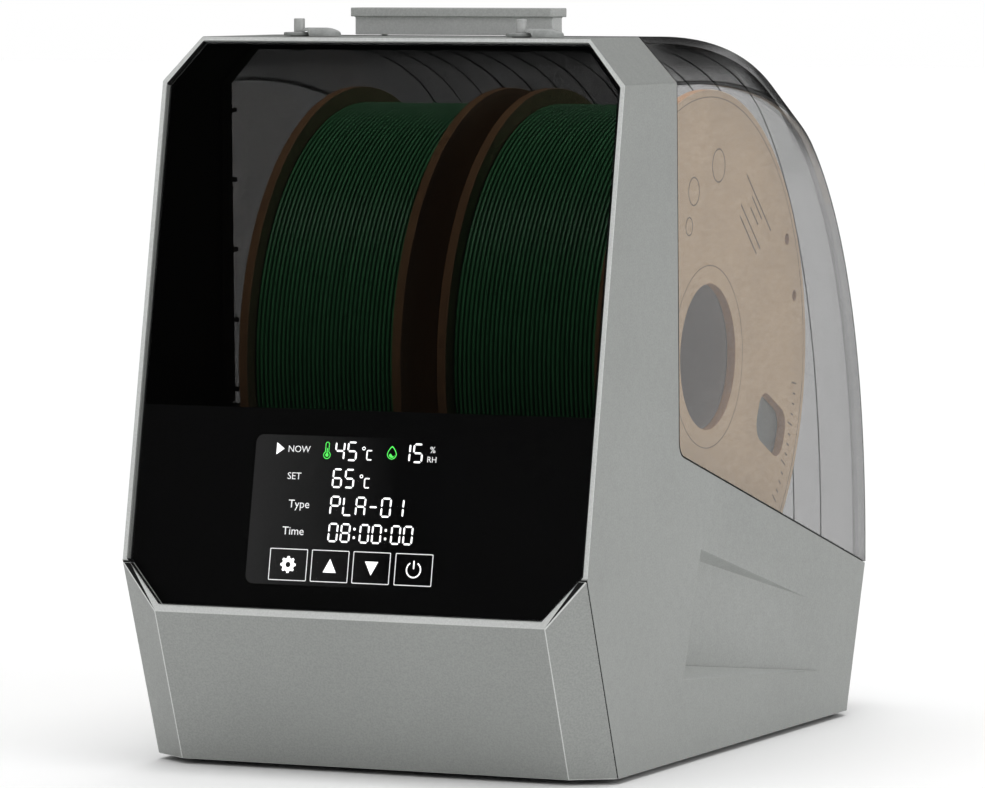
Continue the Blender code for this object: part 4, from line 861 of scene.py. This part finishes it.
def make_symbols(green):
    """The green thermometer and droplet beside the readings."""
    x, s = -13.4, 39.9
    bulb, stem, top = 1.45, 0.8, 43.9

    def thermometer(off):
        points = []
        foot = math.asin((stem - off) / (bulb - off))
        for k in range(25):
            angle = math.pi / 2 + foot + (2 * math.pi - 2 * foot) * k / 24
            points.append((x + (bulb - off) * math.cos(angle), s + (bulb - off) * math.sin(angle)))
        for k in range(9):
            angle = math.pi * k / 8
            points.append((x + (stem - off) * math.cos(angle), top + (stem - off) * math.sin(angle)))
        return points

    green.ring(thermometer(0.0), thermometer(0.28))
    green.shape(circle(0.62, 20, (x, s)))
    green.segment((x, s + 0.3), (x, s + 2.6), 0.36)
    cx, cs = 12.3, 41.0

    def droplet(scale):
        points = []
        for k in range(32):
            angle = 2 * math.pi * k / 32
            narrow = 1.0 - 0.5 * max(0.0, math.sin(angle)) ** 1.4
            rise = 2.9 if math.sin(angle) > 0 else 1.9
            points.append((cx + 1.9 * scale * math.cos(angle) * narrow, cs + rise * scale * math.sin(angle)))
        return points

    green.ring(droplet(1.0), droplet(0.85))
    wave = []
    for k in range(13):
        share = k / 12
        wave.append((cx - 1.1 + 2.2 * share, cs - 0.35 + 0.5 * math.sin(2 * math.pi * share)))
    for k in range(13):
        angle = -math.pi * k / 12
        wave.append((cx + 1.1 * math.cos(angle), cs - 0.35 + 0.95 * math.sin(angle)))
    green.shape(list(dict.fromkeys((round(u, 4), round(v, 4)) for u, v in wave)))


# ---------------------------------------------------------------- lid


def curve_point(points, t):
    """Point and direction on the cubic curve with these four control points."""
    p0, p1, p2, p3 = (Vector(p) for p in points)
    s = 1 - t
    position = s**3 * p0 + 3 * s * s * t * p1 + 3 * s * t * t * p2 + t**3 * p3
    direction = s * s * (p1 - p0) + 2 * s * t * (p2 - p1) + t * t * (p3 - p2)
    return position, direction.normalized()


def rim_stations():
    """Points down the lid's rim, each with the direction that faces out of the lid."""
    start, shoulder, end = (Vector(p) for p in (RIM_START, RIM_SHOULDER, RIM_END))
    down = Vector((math.cos(RIM_SHOULDER_ANGLE), -math.sin(RIM_SHOULDER_ANGLE)))
    first = (start, start + Vector((RIM_HANDLES[0], 0)), shoulder - down * RIM_HANDLES[1], shoulder)
    second = (shoulder, shoulder + down * RIM_HANDLES[2], end + Vector((0, RIM_HANDLES[3])), end)
    stations = [(Vector((FRAME_BACK_TOP_Y + LID_FRONT_GAP, RIM_START[1])), Vector((0, 1)))]
    for points, first_step in ((first, 0), (second, 1)):
        for k in range(first_step, RIM_STEPS + 1):
            position, direction = curve_point(points, k / RIM_STEPS)
            stations.append((position, Vector((-direction.y, direction.x))))
    stations.append((Vector((RIM_END[0], LID_FOOT_Z)), Vector((1, 0))))
    return stations


def make_lid_cover():
    """The curved cover, with fine ribs pressed into its inside and a solid dark rim along each side."""
    slope = Vector((CHAMFER, HALF_WIDTH - TOP_HALF_WIDTH)).normalized() * LID_THICK
    side_inner = HALF_WIDTH - LID_THICK
    run = (TOP_HALF_WIDTH - HALF_WIDTH) / CHAMFER
    under_low = -slope.y + (side_inner - HALF_WIDTH + slope.x) / run
    under_top = CHAMFER - LID_THICK
    corner_x = HALF_WIDTH - slope.x + (under_top + slope.y) * run
    bead = 0.7  # width of the dark bead along the rim, on the chamfer
    rib_half, rib_depth = 0.3, 0.45
    skirt = -1.0
    slant = Vector((TOP_HALF_WIDTH - HALF_WIDTH, CHAMFER)).normalized() * bead
    outer = [(HALF_WIDTH, skirt), (HALF_WIDTH, 0.0)]
    outer += [(HALF_WIDTH + slant.x, slant.y), (TOP_HALF_WIDTH, CHAMFER)]
    ring = [(x, n, 0) for x, n in outer] + [(-x, n, 0) for x, n in reversed(outer)]
    ring += [(-side_inner, skirt, 0), (-side_inner, under_low, 0), (-corner_x, under_top, 0)]
    for k in range(-RIB_REACH, RIB_REACH + 1):
        centre = k * RIB_PITCH
        ring += [(centre - rib_half, under_top, 1), (centre, under_top + rib_depth, 1)]
        ring += [(centre + rib_half, under_top, 0)]
    ring += [(corner_x, under_top, 0), (side_inner, under_low, 0), (side_inner, skirt, 0)]
    bm = bmesh.new()
    sections = []
    for position, normal in rim_stations():
        section = []
        for x, n, _ in ring:
            section.append(bm.verts.new((x, position.x + n * normal.x, position.y + n * normal.y)))
        sections.append(section)
    count = len(ring)
    for first, second in zip(sections, sections[1:]):
        for i in range(count):
            j = (i + 1) % count
            face = bm.faces.new((first[i], first[j], second[j], second[i]))
            low_down = max(ring[i][1], ring[j][1]) <= slant.y + 0.01
            outside = min(abs(ring[i][0]), abs(ring[j][0])) > side_inner + 1.0
            if ring[i][2]:
                face.material_index = 2
            elif low_down and outside:
                face.material_index = 3
    for section in (sections[0], sections[-1]):
        cap = bm.faces.new(section)
        cap.material_index = 1
        bmesh.ops.triangulate(bm, faces=[cap])
    materials = (SMOKED_COVER_PAINTED_TOP_SHADE, SMOKED_EDGE, GROOVE, SMOKED_RIM)
    piece("fine_lid_cover", bm, materials, "lid", ("lid_cover",), 24.0)


def make_lid_sides():
    under_cover = 1.3
    foot_rise = 6.5
    top = [tuple(position - normal * under_cover) for position, normal in rim_stations()]
    front_low_y = FRAME_BACK_LOW[0] + LID_FRONT_GAP
    rear_y = top[-1][0]
    rear_low = (rear_y, rim_z(rear_y) + LID_RIM_GAP)
    front_low = (front_low_y, rim_z(front_low_y) + LID_RIM_GAP)
    top = [point for point in top if point[1] > rear_low[1] + 1.0]
    outline = rounded(top + [rear_low, front_low], {len(top) + 1: 6.0}, 10)
    for side, sign in (("left", -1), ("right", 1)):
        low, high = sorted((sign * (HALF_WIDTH - LID_THICK), sign * HALF_WIDTH))
        bm = solid_prism(outline, low, high, along_x)
        bm.normal_update()
        for face in bm.faces:
            centre = face.calc_center_median()
            foot = centre.z < rim_z(centre.y) + foot_rise and centre.y < rear_y - 1.0
            foot = foot or centre.y < front_low_y + 0.1
            face.material_index = int(abs(face.normal.x) < 0.5 and foot)
        name = "lid_side_" + side
        piece("fine_" + name, bm, (SMOKED, SMOKED_EDGE), "lid", (name,), 40.0)


def on_handle_stem(centre, _):
    # 1 for the stem, which gets the lighter painted-light colour
    return int(centre.z < HANDLE_PLATE_Z)


def make_handle():
    # plate and stem colours are lightened as painted light
    refined("lid_handle", (HANDLE, HANDLE_STEM_PAINTED_LIGHT), 0.7, 3, 25.0, on_handle_stem)
    for side in ("left", "right"):
        make_cross_screw("handle_screw_" + side, "lid")


def make_pin(node, centre, radius, ease):
    """A steel pin from side to side, with rounded ends."""
    low, high = node_box(node)
    profile = [(0, low.x)] + lens_edge(radius, low.x, high.x, ease) + [(0, high.x)]
    pin = turned(profile, centre, along_x, 48)
    piece("fine_" + node, pin, STEEL, "base", (node,))


def make_hinges():
    for side in ("left", "right"):
        refined("hinge_lug_" + side, BLACK, 0.25)
        refined("hinge_bracket_" + side, BLACK, 0.25)
        low, high = node_box("hinge_pin_" + side)
        make_pin("hinge_pin_" + side, PIVOT, (high.z - low.z) / 2 * 1.005, 0.3)


# ---------------------------------------------------------------- outlets


def make_outlets():
    for side, x in zip(("left", "right"), OUTLET_X):
        centre = (x, OUTLET_Y)
        top = BODY_TOP + 0.3
        inside = BODY_TOP - 3.1
        profile = [(2.15, inside - 1.6)] + lens_edge(4.4, inside - 1.6, inside, 0.4)
        profile += [(3.3, inside), (3.3, top)]
        profile += lens_edge(5.7, top, top + 1.3, 0.45) + [(2.6, top + 1.3), (2.15, top + 0.9)]
        seal = turned(profile, centre, along_z, 64)
        piece(f"fine_outlet_seal_{side}", seal, SILICONE, "base", (f"outlet_seal_{side}",))
        node = f"outlet_tube_{side}"
        low, high = (corner.z for corner in node_box(node))
        profile = [(1.1, low), (2.0, low), (2.0, high - 0.3)]
        profile += [(1.92, high - 0.1), (1.7, high), (1.3, high), (1.1, high - 0.15)]
        piece("fine_" + node, turned(profile, centre, along_z, 48), TUBE, "base", (node,))
        make_cap(side, x, top)


def make_cap(side, x, top):
    """The folded-back stopper: a long dome with a notch around the tube, joined to its strap."""
    low, high, half = x + 3.45, x + 16.35, 5.55
    lift, crown = 1.65, 2.95
    bm = bmesh.new()
    rows = []
    steps = 16
    for i in range(steps + 1):
        along = low + (high - low) * i / steps
        reach = (high - along) / 5.4
        width = half if reach >= 1 else half * math.sqrt(max(0.0, 1 - (1 - reach) ** 2))
        if along - x < 4.6:
            width = half * 0.86
        width = max(width, 0.35)
        fall = max(0.0, (along - (high - 6.0)) / 6.0)
        peak = crown - 1.75 * fall**1.8
        under = lift if along - x < 6.2 else 0.0
        rows.append((along, width, peak, under))
    across = 10
    sections = []
    for along, width, peak, under in rows:
        section = []
        for k in range(across + 1):
            v = -1 + 2 * k / across
            edge = math.sqrt(max(0.0, 1 - abs(v) ** 3))
            base = max(under + 0.25, 0.35)
            section.append((along, OUTLET_Y + width * v, top + base + (peak - base) * edge))
        for k in range(across, -1, -1):
            v = -1 + 2 * k / across
            section.append((along, OUTLET_Y + width * v, top + under))
        sections.append([bm.verts.new(point) for point in section])
    for first, second in zip(sections, sections[1:]):
        for k in range(len(first)):
            bm.faces.new((first[k - 1], first[k], second[k], second[k - 1]))
    bm.faces.new(sections[0])
    bm.faces.new(sections[-1])
    name = f"outlet_cap_{side}"
    cap = piece("fine_" + name, bm, SILICONE, f"{side}_cap", (name,), 40.0)
    round_edges(cap, 0.15, 2, 40.0)


# ---------------------------------------------------------------- chamber


def make_chamber():
    refined("chamber_tub", BLACK, 0.0)
    refined("frame_seal", RUBBER, 0.0)
    refined("rim_seal", RUBBER, 0.0)
    for row in ("front", "rear"):
        low, high = node_box(f"{row}_axle")
        middle = (low + high) / 2
        make_pin(f"{row}_axle", (middle.y, middle.z), 3.0, 0.4)
        for side in ("left", "right"):
            make_roller(row, side)


def make_roller(row, side):
    """A roller with a hub at each end, a shallow groove at its middle, and rounded shoulders."""
    node = f"roller_{row}_{side}"
    low, high = node_box(node)
    middle = (low + high) / 2
    near, far = low.x, high.x
    radius = 10.98
    middle_in = (far - near) / 2
    half = [(3.09, 0.0), (5.6, 0.0), (5.8, 0.5), (6.6, 1.6), (9.4, 1.6), (9.8, 0.0), (radius - 0.5, 0.0)]
    half += [(radius - 0.1, 0.4), (radius, 1.0), (radius, middle_in - 1.2), (radius - 0.5, middle_in - 0.8)]
    profile = [(out, near + along) for out, along in half]
    profile += [(out, far - along) for out, along in reversed(half)]
    roller = turned(profile, (middle.y, middle.z), along_x, 96)
    piece("fine_" + node, roller, ROLLER, f"{row}_{side}_roller", (node,))


# ---------------------------------------------------------------- spools


def make_flange(node, body):
    """A card flange: the CAD disc's bore, slot and holes with a smooth round rim and soft edges."""
    ends = [corner.x for corner in node_box(node)]
    outer = circle(SPOOL_R - 0.05, 180, SPOOL_AXIS)
    holes = [circle(BORE_R, 96, SPOOL_AXIS)]
    for turn in (27.0, 12.0):
        angle = math.radians(turn)
        centre = (SPOOL_AXIS[0] + 90.0 * math.cos(angle), SPOOL_AXIS[1] + 90.0 * math.sin(angle))
        holes.append(circle(2.1, 24, centre))
    angle = math.radians(-25.0)
    slot = []
    for u, v in round_rectangle(56.0, 85.0, -9.5, 9.5, 7.0, 8):
        turned_u = u * math.cos(angle) - v * math.sin(angle)
        turned_v = u * math.sin(angle) + v * math.cos(angle)
        slot.append((SPOOL_AXIS[0] + turned_u, SPOOL_AXIS[1] + turned_v))
    holes.append(slot)
    bm = filled([[(ends[0], y, z) for y, z in ring] for ring in [outer] + holes])
    pull(bm, bm.faces[:], (ends[1] - ends[0], 0, 0))
    bm.normal_update()
    for face in bm.faces:
        face.material_index = 0 if abs(face.normal.x) > 0.9 else 1
    flange = piece("fine_" + node, bm, (CARD, CARD_EDGE), body, (node,), 40.0)
    round_edges(flange, 0.35, 2, 40.0)
    return ends


def make_winding(side, body):
    """The wound filament: one rounded ridge for each turn of the outer layer."""
    node = f"{side}_filament"
    ends = [corner.x for corner in node_box(node)]
    turns = round((ends[1] - ends[0]) / STRAND)
    pitch = (ends[1] - ends[0]) / turns
    profile = [(CORE_R + 0.3, ends[0])]
    steps = 6
    root, rise = WINDING_R - 0.9, 0.85
    crest = root + rise * math.sin(math.pi / 3) - 0.05
    for k in range(turns):
        for j in range(steps + 1):
            angle = math.pi * j / steps
            across = ends[0] + pitch * (k + 0.5 - 0.5 * math.cos(angle))
            profile.append((root + rise * math.sin(angle), across))
        if k < turns - 1:
            profile.pop()
    profile.append((CORE_R + 0.3, ends[1]))
    winding = turned(profile, SPOOL_AXIS, along_x, 128)
    winding.normal_update()
    for face in winding.faces:
        middle = face.calc_center_median()
        radius = math.hypot(middle.y - SPOOL_AXIS[0], middle.z - SPOOL_AXIS[1])
        # crests: filament green with a painted highlight; flanks in the grooves between turns: painted shade
        face.material_index = 0 if radius > crest else 2
        # the flat sides of the winding: grey painted shade in place of their green
        if radius < WINDING_R - 3.0:
            face.material_index = 1
    materials = (FILAMENT, FILAMENT_SIDE_PAINTED_SHADE, FILAMENT_PAINTED_SHADE)
    piece("fine_" + node, winding, materials, body, (node,), 60.0)


def make_ticks(name, body, face_x):
    """Plain printed marks on a flange: a short scale beside the slot, rings and five rules."""
    bm = bmesh.new()

    def mark(points):
        outline = [(SPOOL_AXIS[0] + u, SPOOL_AXIS[1] + v) for u, v in points]
        add_prism(bm, outline, (face_x + 0.015, face_x + 0.05), along_x)

    def band(centre, inner, outer, count):
        rings = [circle(radius, count, centre) for radius in (inner, outer)]
        for k in range(count):
            mark([rings[0][k - 1], rings[0][k], rings[1][k], rings[1][k - 1]])

    def polar(radius, turn):
        return (radius * math.cos(math.radians(turn)), radius * math.sin(math.radians(turn)))

    for k in range(13):
        turn = -41.0 + 2.6 * k
        inner = 88.5 if k % 4 else 86.5
        before, after = turn - 0.22, turn + 0.22
        mark([polar(91.0, before), polar(91.0, after), polar(inner, after), polar(inner, before)])
    for radius in (34.0, 97.0):
        band((0.0, 0.0), radius, radius + 0.35, 120)
    for radius, turn, size in ((72.0, 82.0, 6.5), (64.0, 103.0, 5.5), (53.0, 111.0, 3.6)):
        band(polar(radius, turn), size - 0.55, size, 40)
    for row in range(5):
        radius = 60.0 + 4.2 * row
        reach = 8.0 + 5.0 * math.sin(1.7 * row + 0.6)
        corners = [polar(radius, 48.0 - reach), polar(radius, 48.0 + reach)]
        mark(corners + [polar(radius + 0.8, 48.0 + reach), polar(radius + 0.8, 48.0 - reach)])
    piece(name, bm, INK, body)


def make_spools():
    for side in ("left", "right"):
        body = f"{side}_spool"
        make_flange(f"{side}_spool_left_flange", body)
        ends = make_flange(f"{side}_spool_right_flange", body)
        make_ticks(f"{side}_flange_print", body, ends[1])
        node = f"{side}_spool_core"
        low, high = (corner.x for corner in node_box(node))
        profile = [(BORE_R, low), (CORE_R, low), (CORE_R, high), (BORE_R, high)]
        core = turned(profile, SPOOL_AXIS, along_x, 96)
        piece("fine_" + node, core, CORE, body, (node,))
        make_winding(side, body)


# ---------------------------------------------------------------- pieces under the floor


def make_inner_works():
    for node in ("display_module", "blower_housing", "air_duct", "power_inlet"):
        refined(node, BLACK, 0.3)
    refined("blower_rotor", BLACK, 0.0)
    refined("ptc_heater", ALUMINIUM, 0.15)
    for node in ("control_board", "power_board", "humidity_sensor"):
        refined(node, (BOARD, BLACK), 0.12, choose=on_board)
    for node in ("inlet_wires", "display_ribbon"):
        refined(node, CABLE, 0.0)


def on_board(centre, normal):
    """0 for the faces of the board itself, 1 for the components that stand on it."""
    lean = Vector((0, -math.cos(LEAN), math.sin(LEAN)))
    if centre.y > 90.0:
        return 0 if centre.z < 9.7 and abs(normal.z) > 0.9 else 1
    depth = -(centre - Vector((0, 0, PANEL_ZERO_Z))).dot(lean)
    thin = 9.9 < depth < 11.7 or 29.0 < depth < 31.0
    return 0 if thin else 1


# ---------------------------------------------------------------- studio

CAMERA = (970.1, -2038.6, 291.8)
CAMERA_TURN = (86.35, 0.0, 24.03)
LENS = 231.5
SHIFT = (-0.0151, -0.0310)


def make_camera():
    data = bpy.data.cameras.new("camera")
    data.sensor_width = 36.0
    data.lens = LENS
    data.shift_x, data.shift_y = SHIFT
    data.clip_end = 100.0
    camera = bpy.data.objects.new("camera", data)
    camera.location = to_world(CAMERA)
    camera.rotation_euler = [math.radians(angle) for angle in CAMERA_TURN]
    bpy.context.scene.collection.objects.link(camera)
    bpy.context.scene.camera = camera


# Each soft light's name, where it stands round the object and how high in degrees, its strength and its width
SUNS = (
    ("top_light", 0.0, 86.0, 0.60, 60.0),
    ("front_light", 10.0, 28.0, 0.05, 40.0),
    ("right_light", 78.0, 12.0, 0.68, 40.0),
    ("rear_light", 190.0, 45.0, 0.50, 50.0),
)
FLOOR_LIGHT = ("floor_light", 0.0, 86.0, 1.2, 60.0)
CHAMBER_LIGHT = ("chamber_light", -10.0, 62.0, 2.9, 16.0)
WORLD_DIFFUSE = 0.45
WORLD_GLOSSY = 0.02
CLEAR = ("glass_front", "smoke_film", "fine_lid_cover", "fine_lid_side_left", "fine_lid_side_right")


def soft_sun(name, azimuth, elevation, strength, spread, blockers):
    """A wide, even light from far off. Azimuth 0 is in front of the object and 90 to its right."""
    data = bpy.data.lights.new(name, "SUN")
    data.energy = strength
    data.angle = math.radians(spread)
    light = bpy.data.objects.new(name, data)
    around, up = math.radians(azimuth), math.radians(elevation)
    place = Vector((math.sin(around) * math.cos(up), -math.cos(around) * math.cos(up), math.sin(up)))
    light.rotation_euler = place.to_track_quat("Z", "Y").to_euler()
    light.location = place * 3.0
    bpy.context.scene.collection.objects.link(light)
    light.light_linking.blocker_collection = blockers
    return light


def linked(name, things, state):
    """A collection that includes or excludes these objects where a light names it."""
    group = bpy.data.collections.new(name)
    for thing in things:
        group.objects.link(thing)
    for item in group.collection_objects:
        item.light_linking.link_state = state
    return group


def light_chamber():
    """A soft light that only reaches the spools, past the frame and the lid over them."""
    spools = []
    for thing in bpy.data.objects:
        if "spool" in thing.name or "filament" in thing.name or "flange_print" in thing.name:
            spools.append(thing)
    group = linked("chamber_pieces", spools, "INCLUDE")
    soft_sun(*CHAMBER_LIGHT, group).light_linking.receiver_collection = group


def make_studio():
    bm = bmesh.new()
    bmesh.ops.create_grid(bm, x_segments=8, y_segments=8, size=14.0)
    mesh = bpy.data.meshes.new("floor")
    bm.to_mesh(mesh)
    bm.free()
    shader = Shader("floor")
    shader.colour(shader.ramp(shader.noise(0.8, 3.0), 0.3, 0.7, 0.90, 0.93))
    shader.set(Roughness=0.8, Specular_IOR_Level=0.1)
    mesh.materials.append(shader.material)
    floor = bpy.data.objects.new("floor", mesh)
    floor.location = (0, 0, -0.0005)
    bpy.context.scene.collection.objects.link(floor)
    clear = linked("clear_pieces", [bpy.data.objects[name] for name in CLEAR], "EXCLUDE")
    for sun in SUNS:
        soft_sun(*sun, clear)
    light_chamber()
    floor_light = soft_sun(*FLOOR_LIGHT, clear)
    floor_light.light_linking.receiver_collection = linked("floor_pieces", [floor], "INCLUDE")
    world = bpy.data.worlds.new("studio")
    world.use_nodes = True
    tree = world.node_tree
    background = tree.nodes["Background"]
    background.inputs["Color"].default_value = (1.0, 1.0, 1.0, 1.0)
    path = tree.nodes.new("ShaderNodeLightPath")
    strength = tree.nodes.new("ShaderNodeMapRange")
    strength.inputs["To Min"].default_value = WORLD_DIFFUSE
    strength.inputs["To Max"].default_value = 1.0
    gloss = tree.nodes.new("ShaderNodeMath")
    gloss.operation = "SUBTRACT"
    gloss.use_clamp = True
    dimmed = tree.nodes.new("ShaderNodeMath")
    dimmed.operation = "MULTIPLY"
    dimmed.inputs[1].default_value = WORLD_DIFFUSE - WORLD_GLOSSY
    tree.links.new(path.outputs["Is Glossy Ray"], dimmed.inputs[0])
    tree.links.new(path.outputs["Is Camera Ray"], strength.inputs["Value"])
    tree.links.new(strength.outputs["Result"], gloss.inputs[0])
    tree.links.new(dimmed.outputs["Value"], gloss.inputs[1])
    tree.links.new(gloss.outputs["Value"], background.inputs["Strength"])
    bpy.context.scene.world = world
    bpy.context.scene.view_settings.view_transform = "Standard"


def main():
    make_camera()
    make_housing()
    make_glass()
    make_display()
    make_lid_cover()
    make_lid_sides()
    make_handle()
    make_hinges()
    make_outlets()
    make_chamber()
    make_spools()
    make_inner_works()
    make_studio()


main()
